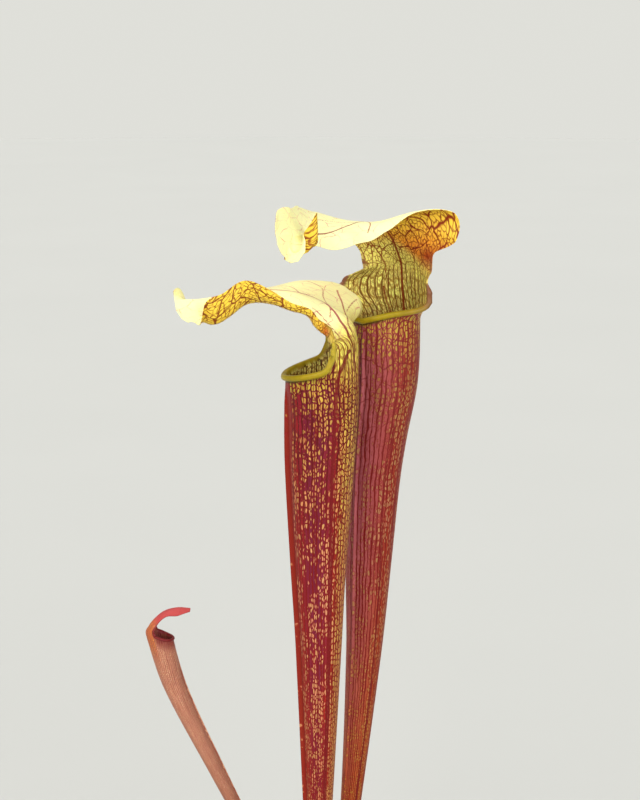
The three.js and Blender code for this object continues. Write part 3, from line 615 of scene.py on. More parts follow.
def skin(leaf, v):
    """Colours and pattern of a tall pitcher at each point."""
    side, height, key = np.abs(v["angle"]), v["height"], v["key"]
    inner = between(0.45, 0.55, v["inner"])
    outer = 1 - inner
    high = between(leaf.lip - 150, leaf.lip - 10, height)
    low = 1 - between(150, leaf.lip - 110, height)
    back = 1 - between(46, 70, side)
    strip_from = 154 + 10 * between(leaf.lip - 30, leaf.lip - 110, height)
    strip = between(0, 5, side - strip_from) * leaf.strip
    painted_groove_shade = bump_at(-2, 3, side - strip_from) * leaf.strip
    near_lip = between(leaf.lip - 36, leaf.lip - 6, height) * (1 - strip)
    under_lip = between(16, 3, v["rim"])
    lid = between(4, 30, key)
    neck = between(-26, 2, key) * between(-1, 1, leaf.neck_angle - side)
    inside = inner * (1 - lid)

    # The tube, from its lower end up: flanks, back, the strip by the wing, below the lip
    # Round one side of the tube the flesh turns to a second colour. On the front pitcher this is a real
    # purple tint. On the back pitcher it is a pale mauve over the front half of the tube: a painted sheen,
    # the sky's reflection.
    purple = bump_at(leaf.purple_at, leaf.purple_reach, side) * leaf.purple
    coat = Coat(line=mixed(leaf.line, DEEP_RED, 1 - high), flesh=mixed(leaf.red, leaf.sheen, purple),
                spot=mixed(PEACH, OLD_GOLD, high) * leaf.spot_tone)
    coat.lay(low, flesh=leaf.low_colour, spot=leaf.low_spot)
    coat.lay(back, flesh=leaf.back_flesh, spot=mixed(rgb("cc9448"), rgb("dcb24c"), high))
    coat.lay(strip, flesh=ORANGE_RED, line=CRIMSON * 0.8)
    # A dark line along the edge of the strip: painted shade of a groove that the mesh does not have.
    coat.lay(painted_groove_shade * 0.8, flesh=rgb("5c2a22"))
    coat.lay(0.7 * near_lip, spot=rgb("c29a3c"))
    coat.lay(under_lip, spot=rgb("b99a35"))
    opening = leaf.open + 0.02 * high - leaf.shy * bump_at(180, 62, side) + back * (0.22 + 0.14 * high)
    opening = opening * (1 - strip) + 0.12 * (near_lip + under_lip)

    # The neck, the lid and the inside of the tube
    coat.lay(neck, line=rgb("6a220c"), flesh=rgb("e0c84a"),
             spot=mixed(rgb("f2d856"), rgb("ecde62"), between(-20, 6, key)))
    lid_spot = mixed(mixed(PALE_GREEN, CREAM, between(10, 36, key)), lid_inside(leaf, v), inner)
    coat.lay(lid, line=mixed(PINK, leaf.under_line, inner), flesh=lid_spot, spot=lid_spot)
    # The inner wall is pale lime just below the lid. That colour is lifted to stand in for light coming
    # through the hood. Deeper down it turns dark brown: painted shade inside the tube.
    painted_shade_depth = between(-4, -60, key)
    coat.lay(inside, line=leaf.inner_line, flesh=mixed(rgb("ead264"), rgb("7a4420"), painted_shade_depth),
             spot=mixed(rgb("f2ea7c"), rgb("b08c44"), painted_shade_depth))
    for place, share in ((neck, 0.94), (lid, 1.0), (inside, 0.9)):
        opening = opening * (1 - place) + share * place

    # The rolled lip, the neck's edges and a painted shadow under the lip
    rolled = np.maximum(between(0.05, 0.5, v["lip"] * (1 - between(2, 14, key))),
                        between(0.02, 0.3, v["lip"]) * between(-14, -2, key))
    edge = mixed(LIP_EDGE, leaf.neck_edge, between(-16, -2, key))
    coat.lay(rolled, edge)
    coat.lay(0.8 * between(3.2, 0.8, v["margin"]) * between(34, 22, key) * lid, leaf.neck_edge)
    # A dark olive band just below the rim on the outer face: painted shadow of the rolled lip.
    coat.lay(bump_at(0.6, 2.0, v["rim"]) * (1 - rolled) * outer * (1 - between(-20, -8, key)), OLIVE * 0.4)
    vein = mixed(rgb("6d0f12"), leaf.midrib, between(8, 40, key) * outer)
    violet = bump_at(leaf.violet_at, 48, side) * (1 - back) * (1 - strip) * (1 - lid) * (1 - inside)
    return dict(**coat, opening=opening, blade=lid, lip=rolled, edge=edge, sparse=lid * outer,
                netted=inside * 0.5, across=v["across"], key=key, polygons=high * (1 - neck) * outer,
                violet=violet * leaf.violet, vein_gap=vein_gaps(leaf, v),
                vein_colour=mixed(vein, rgb("7c1a0c"), inner))


def withered_skin(leaf, v):
    """The small old pitcher: brown-pink, with an orange neck, red lid, dark mouth and the inside of its tube
    painted dark for shade.
    """
    height, key, inner = v["height"], v["key"], between(0.45, 0.55, v["inner"])
    dry = 1 - between(140, 300, height)
    lid = between(6, 16, key)
    neck = between(-22, -4, key) * between(-1, 1, leaf.neck_angle - np.abs(v["angle"]))
    coat = Coat(line=mixed(rgb("8a5040"), rgb("801c28"), lid), flesh=mixed(rgb("c08468"), rgb("98684a"), dry),
                spot=mixed(rgb("d4a080"), rgb("b48a62"), dry))
    coat.lay(neck, flesh=rgb("c8682e"), spot=rgb("dc8a48"))
    coat.lay(lid, flesh=rgb("9c2e34"), spot=rgb("b24644"))
    # Dark red round the mouth, and the inside of the tube painted dark: painted shade in the hollow.
    dark = np.maximum(between(9, 1, v["rim"]), inner * (1 - lid))
    coat.lay(dark, flesh=rgb("701820"), spot=rgb("8c2c2c"))
    nothing = np.zeros(len(height))
    return dict(**coat, opening=0.5 + 0.5 * lid, blade=lid, lip=between(0.05, 0.5, v["lip"]),
                edge=np.broadcast_to(rgb("6a1a1e"), coat["flesh"].shape), sparse=lid, netted=nothing,
                across=v["across"], key=key, polygons=nothing, violet=nothing, vein_gap=nothing + NO_VEIN,
                vein_colour=coat["flesh"])


# Materials


class Nodes:
    """A node tree built by short calls: each returns the socket that the next reads."""

    def __init__(self, name):
        self.material = bpy.data.materials.new(name)
        self.material.use_nodes = True
        self.tree = self.material.node_tree
        self.shader = self.tree.nodes["Principled BSDF"]
        self.place = self.node("ShaderNodeTexCoord").outputs["Object"]

    def node(self, kind, settings=None, **inputs):
        made = self.tree.nodes.new(kind)
        for name, value in (settings or {}).items():
            setattr(made, name, value)
        self.fill(made, inputs)
        return made

    def fill(self, node, inputs):
        for name, value in inputs.items():
            self.put(node.inputs[name.replace("_", " ")], value)

    def put(self, socket, value):
        if isinstance(value, bpy.types.NodeSocket):
            self.tree.links.new(value, socket)
        elif isinstance(value, np.ndarray):
            socket.default_value = (*value, 1)
        else:
            socket.default_value = value

    def math(self, operation, first, *rest):
        """The operation on one number, or on each of several in turn."""
        for number in rest or [None]:
            made = self.node("ShaderNodeMath", {"operation": operation})
            self.put(made.inputs[0], first)
            if rest:
                self.put(made.inputs[1], number)
            first = made.outputs[0]
        return first

    def times(self, *numbers):
        return self.math("MULTIPLY", *numbers)

    def plus(self, *numbers):
        return self.math("ADD", *numbers)

    def minus(self, *numbers):
        return self.math("SUBTRACT", *numbers)

    def ramp(self, value, low, high, start=0.0, end=1.0):
        return self.node("ShaderNodeMapRange", {"interpolation_type": "SMOOTHSTEP"}, Value=value,
                         From_Min=low, From_Max=high, To_Min=start, To_Max=end).outputs[0]

    def blend(self, share, a, b):
        """Between two numbers."""
        return self.node("ShaderNodeMix", Factor=share, A=a, B=b).outputs[0]

    def mix(self, share, a, b):
        """Between two colours."""
        made = self.node("ShaderNodeMix", {"data_type": "RGBA"}, Factor=share)
        self.put(made.inputs[6], a)
        self.put(made.inputs[7], b)
        return made.outputs[2]

    def toned(self, colour, value, hue=0.5):
        return self.node("ShaderNodeHueSaturation", Color=colour, Value=value, Hue=hue).outputs[0]

    def attribute(self, name, output="Fac"):
        return self.node("ShaderNodeAttribute", {"attribute_name": name}).outputs[output]

    def noise(self, vector, scale, detail=3.0, roughness=0.55):
        return self.node("ShaderNodeTexNoise", Vector=vector, Scale=scale, Detail=detail,
                         Roughness=roughness).outputs["Fac"]

    def drift(self, vector, *scale):
        """A broad noise about 0."""
        return self.minus(self.noise(self.scaled(vector, *scale, 1.0), 1.0, 2.0), 0.5)

    def warped(self, vector, scale, reach, detail=2.0):
        """The vector, pushed about by a noise."""
        push = self.node("ShaderNodeTexNoise", Vector=vector, Scale=scale, Detail=detail)
        made = self.node("ShaderNodeVectorMath", {"operation": "MULTIPLY_ADD"})
        for socket, value in zip(made.inputs, (push.outputs["Color"], (*reach, 0.0), vector)):
            self.put(socket, value)
        return made.outputs[0]

    def scaled(self, vector, *scale):
        return self.node("ShaderNodeMapping", Vector=vector, Scale=scale).outputs[0]

    def voronoi(self, vector, feature, scale=1.0, randomness=1.0):
        return self.node("ShaderNodeTexVoronoi", {"voronoi_dimensions": "2D", "feature": feature},
                         Vector=vector, Scale=scale, Randomness=randomness)

    def to_edge(self, vector, scale=1.0, randomness=1.0):
        """How far a point is from the edge of its cell."""
        return self.voronoi(vector, "DISTANCE_TO_EDGE", scale, randomness).outputs["Distance"]

    def bump(self, height, strength, distance, **normal):
        return self.node("ShaderNodeBump", Strength=strength, Distance=distance, Height=height,
                         **normal).outputs[0]

    def finish(self, **inputs):
        self.fill(self.shader, inputs)
        return self.material


def tube_pattern(n, opening):
    """Light cells between lengthwise veins, gathered in groups. Returns how light each
    point is, how far it is off the veins, its cell's two numbers, the dark dot and the
    dark ring round a light cell."""
    mapped = n.node("ShaderNodeUVMap", {"uv_map": "veins"}).outputs[0]
    place = n.warped(n.warped(mapped, 0.35, (1.1, 0.8), 3.0), 1.6, (0.30, 0.25))
    part = n.math("FRACT", n.node("ShaderNodeSeparateXYZ", Vector=place).outputs[0])
    to_line = n.minus(0.5, n.math("ABSOLUTE", n.minus(part, 0.5)))
    thick = n.ramp(n.noise(n.scaled(place, 1.1, 0.10, 1.0), 1.0, 2.0), 0.40, 0.66, 0.0, 0.15)
    thick = n.times(thick, n.ramp(opening, 0.5, 0.95, 1.0, 0.25))
    off_line = n.ramp(n.minus(to_line, thick), 0.02, 0.15)
    small = n.scaled(place, CELLS_ACROSS, CELLS_ALONG, 1.0)
    cell = n.voronoi(small, "F1", randomness=0.8)
    from_middle = cell.outputs["Distance"]
    numbers = n.node("ShaderNodeSeparateColor", Color=cell.outputs["Color"])
    chance, hue = numbers.outputs[0], numbers.outputs[1]
    groups = n.plus(n.times(n.drift(place, 0.36, 0.20), 2.0), n.times(n.drift(place, 0.36, 0.025), 1.3))
    scatter = n.plus(groups, n.times(n.minus(chance, 0.5), 0.75))
    closed = n.ramp(opening, 0.45, 0.95, 1.0, 0.0)
    reach = n.minus(n.ramp(opening, 0.0, 1.0, -0.25, 1.15), n.times(closed, scatter))
    depth = n.minus(reach, from_middle)
    off_edge = n.ramp(n.to_edge(small, randomness=0.8), 0.03, 0.22)
    wide = n.to_edge(n.scaled(n.warped(mapped, 0.5, (1.2, 1.0)), 0.42, 0.40, 1.0), randomness=0.8)
    off_wide = n.blend(n.attribute("polygons"), 1.0, n.ramp(wide, 0.01, 0.06, 0.25, 1.0))
    net = n.times(off_wide, off_line)
    light = n.times(n.ramp(depth, -0.10, 0.32), off_edge, net)
    ring = n.times(n.ramp(depth, -0.30, 0.02), n.minus(1.0, light))
    dot = n.times(n.ramp(from_middle, 0.26, 0.06), light)
    return light, net, chance, hue, dot, ring


def lid_pattern(n):
    """The lid's net of polygons with a finer one inside, and the sparse net outside."""
    flat = n.node("ShaderNodeCombineXYZ", X=n.attribute("across"), Y=n.attribute("key")).outputs[0]
    squeezed = n.scaled(n.warped(flat, 0.16, (4.0, 4.0)), 1.0, 0.62, 1.0)
    wide = n.to_edge(squeezed, 0.13, 0.95)
    fine = n.to_edge(n.warped(squeezed, 0.5, (1.0, 1.0)), 0.46)
    thick = n.times(n.ramp(n.noise(flat, 0.09, 2.0), 0.35, 0.65), 0.022)
    wide_light = n.ramp(n.minus(wide, thick), 0.0, 0.06)
    broken = n.ramp(n.noise(flat, 0.35, 2.0), 0.42, 0.66, 0.1, 0.7)
    fine_light = n.math("MAXIMUM", n.ramp(fine, 0.02, 0.19), broken)
    gaps = n.ramp(n.noise(flat, 0.07, 2.0), 0.46, 0.62, 0.15, 0.8)
    pale = n.math("MAXIMUM", n.ramp(wide, 0.006, 0.035), n.minus(1.0, gaps))
    return n.times(wide_light, fine_light), n.times(pale, n.ramp(fine, 0.0, 0.07, 0.93, 1.0))


def leaf_material(name):
    """A pitcher's skin."""
    n = Nodes(name)
    line, flesh, spot, edge = (n.attribute(k, "Color") for k in ("line", "flesh", "spot", "edge"))
    opening, blade, lip = n.attribute("opening"), n.attribute("blade"), n.attribute("lip")
    light, net, chance, hue, dot, ring = tube_pattern(n, opening)
    inner_light, outer_light = lid_pattern(n)
    lid_light = n.blend(n.attribute("sparse"), inner_light, outer_light)
    off_blade = n.minus(1.0, blade)

    # The flesh of the tube, then its light cells, then the blade and the drawn veins
    stretched = n.scaled(n.place, 1.0, 1.0, 0.14)
    violet = n.times(n.attribute("violet"), n.ramp(n.noise(stretched, 90.0), 0.34, 0.54))
    streaks = n.times(n.ramp(n.noise(stretched, 260.0), 0.3, 0.7), 0.3)
    shaded = n.mix(n.times(streaks, off_blade), n.mix(violet, flesh, VIOLET), line)
    shaded = n.mix(n.times(ring, off_blade, 0.55), shaded, line)
    tone = n.toned(spot, n.ramp(chance, 0.0, 1.0, 0.82, 1.12), n.ramp(hue, 0.0, 1.0, 0.485, 0.512))
    dotted = n.mix(n.times(dot, 0.6, n.ramp(opening, 0.45, 0.8, 0.1, 0.7)), tone, OLIVE)
    faded = n.mix(n.ramp(light, 0.25, 0.85), n.mix(blade, AMBER, dotted), dotted)
    on_tube = n.mix(light, n.mix(net, line, shaded), faded)
    on_tube = n.mix(n.times(n.attribute("netted"), n.minus(1.0, inner_light)), on_tube, line)
    patches = n.ramp(n.noise(n.place, 70.0, 4.0), 0.35, 0.68)
    on_lid = n.mix(lid_light, line, n.mix(n.times(patches, 0.12), spot, flesh))
    colour = n.mix(blade, on_tube, on_lid)
    ragged = n.times(n.minus(n.noise(n.place, 700.0, 2.0), 0.5), 0.7)
    drawn = n.ramp(n.plus(n.attribute("vein_gap"), ragged), -0.15, 0.45, 0.9, 0.0)
    colour = n.mix(drawn, colour, n.attribute("vein_colour", "Color"))
    edge = n.toned(edge, n.ramp(n.noise(n.place, 150.0, 4.0), 0.3, 0.7, 0.9, 1.25))
    colour = n.mix(n.times(lip, 0.85), colour, edge)

    bulge = n.blend(blade, n.times(net, 0.8), n.times(lid_light, 0.5))
    relief = n.plus(bulge, n.times(light, 0.25), n.times(n.noise(n.place, 1500.0), 0.2))
    fine = n.bump(n.times(relief, n.minus(1.0, lip)), 0.6, 0.0004)
    normal = n.bump(n.noise(n.place, 45.0, 4.0), 0.3, 0.0012, Normal=fine)
    rough = n.blend(lip, n.ramp(n.noise(n.place, 240.0), 0.2, 0.8, 0.38, 0.54), 0.3)
    return n.finish(Base_Color=colour, Roughness=rough, Normal=normal,
                    Subsurface_Weight=0.12, Subsurface_Radius=(0.0030, 0.0016, 0.0007),
                    Subsurface_Scale=1.0, Specular_IOR_Level=0.14)


def pot_material():
    """Moulded plastic: a faint grain and turning marks, scratches, lime and soil splashes."""
    n = Nodes("pot_plastic_worn")
    height = n.node("ShaderNodeSeparateXYZ", Vector=n.place).outputs[2]
    broad = n.noise(n.place, 18.0, 5.0)
    streak = n.noise(n.scaled(n.place, 1.0, 1.0, 0.08), 120.0, 4.0)
    lime = n.times(n.ramp(streak, 0.55, 0.75), n.ramp(height, 0.02, 0.13, 0.15, 0.55))
    splash = n.ramp(n.noise(n.place, 60.0, 5.0, 0.7), 0.50, 0.66)
    splash = n.times(splash, n.ramp(height, 0.045, 0.0, 0.0, 0.75))
    specks = n.times(n.ramp(n.noise(n.place, 420.0, 2.0), 0.66, 0.74), 0.6)
    colour = n.mix(n.ramp(broad, 0.35, 0.68), rgb("8e4a30"), rgb("a05a3c"))
    for share, marks in ((lime, "c8b8a4"), (splash, "4a3424"), (specks, "6a3624")):
        colour = n.mix(share, colour, rgb(marks))
    scratch = n.ramp(n.noise(n.scaled(n.place, 1.0, 1.0, 9.0), 70.0), 0.62, 0.72)
    turning = n.node("ShaderNodeTexWave", {"bands_direction": "Z"}, Vector=n.place, Scale=260.0,
                     Distortion=0.6, Detail=1.0).outputs["Fac"]
    relief = n.plus(n.noise(n.place, 900.0), n.times(turning, 0.12), n.times(scratch, 0.4))
    rough = n.plus(n.ramp(broad, 0.3, 0.7, 0.36, 0.50), n.times(splash, 0.3))
    return n.finish(Base_Color=colour, Roughness=rough, Normal=n.bump(relief, 0.35, 0.0002))


def earth_material(name, scale, relief):
    """Crumbs, grains and moss, each point with its own tint."""
    n = Nodes(name)
    broad, fine = n.noise(n.place, scale, 5.0, 0.65), n.noise(n.place, scale * 6, 4.0, 0.65)
    tint = n.attribute("tint", "Color")
    shade = n.toned(tint, n.ramp(broad, 0.3, 0.7, 0.6, 1.25))
    colour = n.mix(n.times(n.ramp(fine, 0.5, 0.75), 0.5), shade, tint)
    damp = n.ramp(n.noise(n.place, 35.0, 2.0), 0.4, 0.6, 0.62, 0.95)
    normal = n.bump(n.plus(fine, broad), relief, 0.0008)
    return n.finish(Base_Color=colour, Roughness=damp, Normal=normal, Specular_IOR_Level=0.3)


# The pot


def rounded(profile, reach, steps=4):
    """The profile with each corner between its ends turned into a small arc."""
    rows = [profile[0]]
    for before, corner, after in zip(profile, profile[1:], profile[2:]):
        a, b, c = (np.array(row, float) for row in (before, corner, after))
        start, end = (b + (d - b) * min(0.4, reach / np.linalg.norm(d - b)) for d in (a, c))
        rows += [(1 - t) ** 2 * start + 2 * t * (1 - t) * b + t**2 * end
                 for t in np.linspace(0, 1, steps + 1)]
    return np.array([*rows, profile[-1]], float)


def circle(count):
    return 2 * math.pi * np.arange(count) / count


def spun(radius, angles, height):
    """Points at a distance from the upright axis, each number or array spread over them."""
    return np.stack(np.broadcast_arrays(radius * np.cos(angles), radius * np.sin(angles), height), axis=-1)


def closed_rings(rings):
    """Points and faces of rings (ring, side, xyz) with a hub at each end."""
    count, sides = rings.shape[:2]
    grid = np.arange(count * sides).reshape(count, sides)
    beside = np.roll(grid, -1, axis=1)
    points = np.concatenate([rings.reshape(-1, 3), rings[:1].mean(axis=1), rings[-1:].mean(axis=1)])
    low, high = np.full(sides, count * sides), np.full(sides, count * sides + 1)
    corners = (grid[:-1], beside[:-1], beside[1:], grid[1:])
    walls = np.stack([c.reshape(-1) for c in corners], axis=1)
    foot = np.stack([beside[0], grid[0], low, low], axis=1)
    head = np.stack([grid[-1], beside[-1], high, high], axis=1)
    return points, np.concatenate([walls, foot, head])


def pot_inside(height):
    """The radius of the pot's inner wall at a height."""
    low = POT_FOOT + POT_SPREAD * POT_FLOOR / POT_HEIGHT - POT_WALL
    high = POT_TOP - POT_WALL - 2.0
    return low + (high - low) * (height - POT_FLOOR) / (POT_HEIGHT - 1 - POT_FLOOR)


def drill(piece):
    """The pot's drain holes."""
    holes = bmesh.new()
    for place in spun(DRAIN_CIRCLE * MM, circle(DRAIN_HOLES), 0):
        bmesh.ops.create_cone(holes, cap_ends=True, segments=48, radius1=DRAIN_RADIUS * MM,
                              radius2=DRAIN_RADIUS * MM, depth=0.02, matrix=Matrix.Translation(place))
    data = bpy.data.meshes.new("drains")
    holes.to_mesh(data)
    cutter = bpy.data.objects.new("drains", data)
    bpy.context.scene.collection.objects.link(cutter)
    cut = piece.modifiers.new("drains", "BOOLEAN")
    cut.operation, cut.object, cut.solver = "DIFFERENCE", cutter, "EXACT"
    drilled = bpy.data.meshes.new_from_object(piece.evaluated_get(bpy.context.evaluated_depsgraph_get()))
    piece.modifiers.clear()
    piece.data = drilled
    bpy.data.objects.remove(cutter)


def make_pot():
    band = POT_HEIGHT - BAND_HEIGHT
    under_band = POT_FOOT + POT_SPREAD * band / POT_HEIGHT
    inside = POT_TOP - POT_WALL
    profile = rounded([
        (0, 0), (POT_FOOT - 2, 0), (POT_FOOT, 2), (under_band, band), (under_band + BAND_STEP, band + 1),
        (POT_TOP - 1.4, POT_HEIGHT - 5), (POT_TOP, POT_HEIGHT - 4), (POT_TOP, POT_HEIGHT - 0.8),
        (POT_TOP - 0.8, POT_HEIGHT), (inside - 0.8, POT_HEIGHT), (inside - 2.0, POT_HEIGHT - 1),
        (pot_inside(POT_FLOOR), POT_FLOOR), (0, POT_FLOOR),
    ], 0.7)
    rings = spun(profile[1:-1, :1], circle(POT_SIDES), profile[1:-1, 1:])
    pot = as_object("pot_shell", *closed_rings(rings))
    drill(pot)
    pot.data.shade_smooth()
    pot.data.set_sharp_from_angle(angle=math.radians(35))
    pot.data.materials.append(pot_material())
    stand_for(pot, "pot")


def stand_for(piece, node):
    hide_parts(node)
    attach(piece, "root")


# The potting mix


class Heap:
    """Many small solids in one mesh, each with its tint."""

    def __init__(self):
        self.points, self.faces, self.tints, self.count = [], [], [], 0

    def add(self, points, faces, tints):
        self.points.append(points)
        self.faces.append(np.asarray(faces) + self.count)
        self.tints.append(np.broadcast_to(tints, points.shape))
        self.count += len(points)

    def make(self, name):
        piece = as_object(name, np.concatenate(self.points), np.concatenate(self.faces))
        with_values(piece, {"tint": np.concatenate(self.tints)})
        return piece


def soil_height(x, y):
    """The mounded surface of the mix, lumpy at two sizes."""
    radius = np.hypot(x, y)
    mound = MIX_EDGE + MIX_MOUND * (1 - (radius / SOIL_RADIUS) ** 2)
    lumps = [1.5 * noise.fractal(Vector((a / 9, b / 9, 0)), 0.8, 2.0, 4)
             + 0.5 * noise.noise(Vector((a / 1.6, b / 1.6, 7))) for a, b in zip(np.ravel(x), np.ravel(y))]
    return mound + np.reshape(lumps, np.shape(x)) * (1 - 0.6 * ease((radius - SOIL_RADIUS + 6) / 6))


def add_grains(heap, draw, count, sizes, shape, sunk, tints):
    """Lumpy grains of a shape (three stretches), half in the surface of the mix."""
    ball = bmesh.new()
    bmesh.ops.create_icosphere(ball, subdivisions=2, radius=1)
    base = np.array([v.co[:] for v in ball.verts])
    faces = np.array([[v.index for v in f.verts] for f in ball.faces])
    ball.free()
    radius = (SOIL_RADIUS - 2) * np.sqrt(draw.uniform(0, 1, count))
    places = spun(radius, draw.uniform(0, 2 * math.pi, count), 0)
    size = draw.uniform(*sizes, count)
    lumps = 1 + draw.normal(0, 0.13, (count, len(base), 1))
    stretch = np.array(shape) * draw.uniform(0.75, 1.25, (count, 3))
    turns = [Quaternion(q).to_matrix() for q in unit(draw.normal(size=(count, 4)))]
    solid = base[None] * lumps * stretch[:, None] * size[:, None, None] / 2
    solid = np.einsum("nij,nvj->nvi", np.array(turns), solid)
    places[:, 2] = soil_height(places[:, 0], places[:, 1]) + size * (0.3 - sunk)
    numbers = faces[None] + (np.arange(count) * len(base))[:, None, None]
    four = np.concatenate([numbers, numbers[..., 2:]], axis=2).reshape(-1, 4)
    colours = np.array([rgb(code) for code in tints.split()])
    chosen = colours[draw.integers(0, len(colours), count)] * draw.uniform(0.8, 1.2, (count, 1))
    heap.add((solid + places[:, None]).reshape(-1, 3), four, np.repeat(chosen, len(base), axis=0))


def add_moss(heap, draw, clumps, stems, leaflets=16):
    """Low cushions of moss: short stems set with pointed leaflets."""
    pattern = np.array([[0, 1, 3, 3], [1, 2, 3, 3], [2, 0, 3, 3], [1, 0, 2, 2]])
    for cx, cy, spread in clumps:
        x, y = cx + draw.normal(0, spread, stems), cy + draw.normal(0, spread * 0.7, stems)
        inside = np.hypot(x, y) < SOIL_RADIUS - 4
        x, y = x[inside], y[inside]
        foot = np.stack([x, y, soil_height(x, y) - 0.4], axis=1)
        lean = np.column_stack([draw.normal(0, 0.3, (len(x), 2)), np.ones(len(x))])
        height = draw.uniform(2.5, 5.5, (len(x), 1))
        faces = (4 * np.arange(len(x))[:, None, None] + pattern).reshape(-1, 4)
        for k in range(leaflets):
            at = foot + unit(lean) * height * (k + 1) / leaflets
            swing = 2.4 * k + draw.uniform(0, 0.6, len(x))
            out = spun(1, swing, 0.7 + 0.05 * k)
            across = spun(1, swing + math.pi / 2, 0)
            long = draw.uniform(1.0, 1.9, (len(x), 1)) * (1.1 - 0.5 * k / leaflets)
            corners = [at - across * 0.22, at + across * 0.22, at - unit(out) * 0.05 + [0, 0, 0.18],
                       at + unit(out) * long]
            solid = np.stack(corners, axis=1).reshape(-1, 3)
            heap.add(solid, faces, mixed(rgb("4c5c1e"), rgb("93a440"), (k + 1) / leaflets))


def make_mix():
    draw = np.random.default_rng(31)
    heap = Heap()
    angles = circle(300)
    levels = (POT_FLOOR + MIX_GAP, 40, 80, 120, 129)
    sides = [spun(pot_inside(height) - MIX_GAP, angles, height) for height in levels]
    shares = np.linspace(1, 0.004, 120)[:, None]
    top = spun((pot_inside(MIX_EDGE) - MIX_GAP) * shares, angles, 0)
    top[..., 2] = soil_height(top[..., 0], top[..., 1])
    points, faces = closed_rings(np.concatenate([np.array(sides), top]))
    heap.add(points, faces, mixed(rgb("2e2015"), rgb("4a3524"), draw.uniform(0, 1, len(points))))
    for grains in GRAINS:
        add_grains(heap, draw, *grains)
    add_moss(heap, draw, MOSS_CLUMPS, 95)
    mix = heap.make("potting_mix_surface")
    mix.data.materials.append(earth_material("peat_and_grit", 260.0, 0.8))
    stand_for(mix, "potting_mix")


# The rootstock


def about_upright(points, degrees):
    """The points turned about the Z axis."""
    c, s = math.cos(math.radians(degrees)), math.sin(math.radians(degrees))
    return points @ np.array([[c, s, 0], [-s, c, 0], [0, 0, 1]])


def add_crown(heap):
    """The creeping rootstock itself, ringed with the scars of old leaves."""
    length, width, height = CROWN_REACH
    polar = (math.pi * np.linspace(0.004, 0.996, 200))[:, None]
    spin = circle(160)
    ridge = np.sin(9 * polar + 1.5 * np.sin(spin))
    creases = np.array([[noise.fractal(Vector((3 * a, math.cos(b) * 2.2, math.sin(b) * 2.2)), 0.7, 2.1, 5)
                         for b in spin] for a in polar[:, 0]])
    grow = (1 + 0.04 * ridge + 0.035 * creases * np.sin(polar)) * np.sin(polar)
    body = np.stack([length * np.cos(polar) * np.ones_like(spin), width * grow * np.cos(spin),
                     height * grow * np.sin(spin)], axis=-1)
    points, faces = closed_rings(about_upright(body, CROWN_TURN) + CROWN_CENTRE)
    tint = mixed(rgb("3c2818"), rgb("86603c"), np.clip(0.5 + 0.4 * ridge + 0.9 * creases, 0, 1).ravel())
    heap.add(points, faces, np.vstack([tint, tint[:1], tint[-1:]]))


def add_stub(heap, draw, x, y, lean, towards, length, radius):
    """The torn base of an old leaf, fibrous outside and sunk at its broken end."""
    angles = circle(72)
    torn = draw.normal(0, 1, 72)
    torn = (torn + np.roll(torn, 1) + np.roll(torn, 2)) * 0.35
    fibres = 0.18 * np.sin(angles * 17 + draw.uniform(0, 6)) + 0.10 * np.sin(angles * 29)
    broken_end = [(1.0, 0.35, 0.1), (0.99, 0.9, 0.9), (0.94, 1.5, 0.6), (0.88, 2.2, 0.3)]
    rings = []
    for share, inset, drop in [*((t, 0, 0) for t in np.linspace(0, 0.98, 26)), *broken_end]:
        size = radius * (1 - 0.18 * share) + fibres * (1 - 0.6 * drop) - inset
        rings.append(spun(size, angles, length * share + torn * ease((share - 0.6) / 0.4) * (1 - 0.5 * drop)))
    solid, faces = closed_rings(np.array(rings))
    c, s = math.cos(math.radians(lean)), math.sin(math.radians(lean))
    leaned = about_upright(solid @ np.array([[c, 0, -s], [0, 1, 0], [s, 0, c]]), towards)
    share = np.clip(solid[:, 2] / length, 0, 1)
    heap.add(leaned + [x, y, CROWN_CENTRE[2] + 4], faces, mixed(rgb("5c4028"), rgb("b8946a"), share**1.5))


def make_rootstock():
    draw = np.random.default_rng(47)
    heap = Heap()
    add_crown(heap)
    for stub in STUBS:
        add_stub(heap, draw, *stub)
    crown = heap.make("rootstock_crown")
    crown.data.materials.append(earth_material("rootstock_bark", 320.0, 0.7))
    stand_for(crown, "rootstock")


# The leaves


def make_leaf(leaf):
    mesh = build_pitcher(leaf)
    name = leaf.name + "_skin"
    piece = as_object(name, mesh.points, mesh.faces)
    with_values(piece, leaf.paint(leaf, mesh.values))
    mesh.maps[..., 1] = cell_count(leaf, mesh.maps[..., 1])
    with_map(piece, "veins", mesh.maps, mesh.faces)
    piece.data.materials.append(leaf_material(name))
    stand_for(piece, leaf.name)


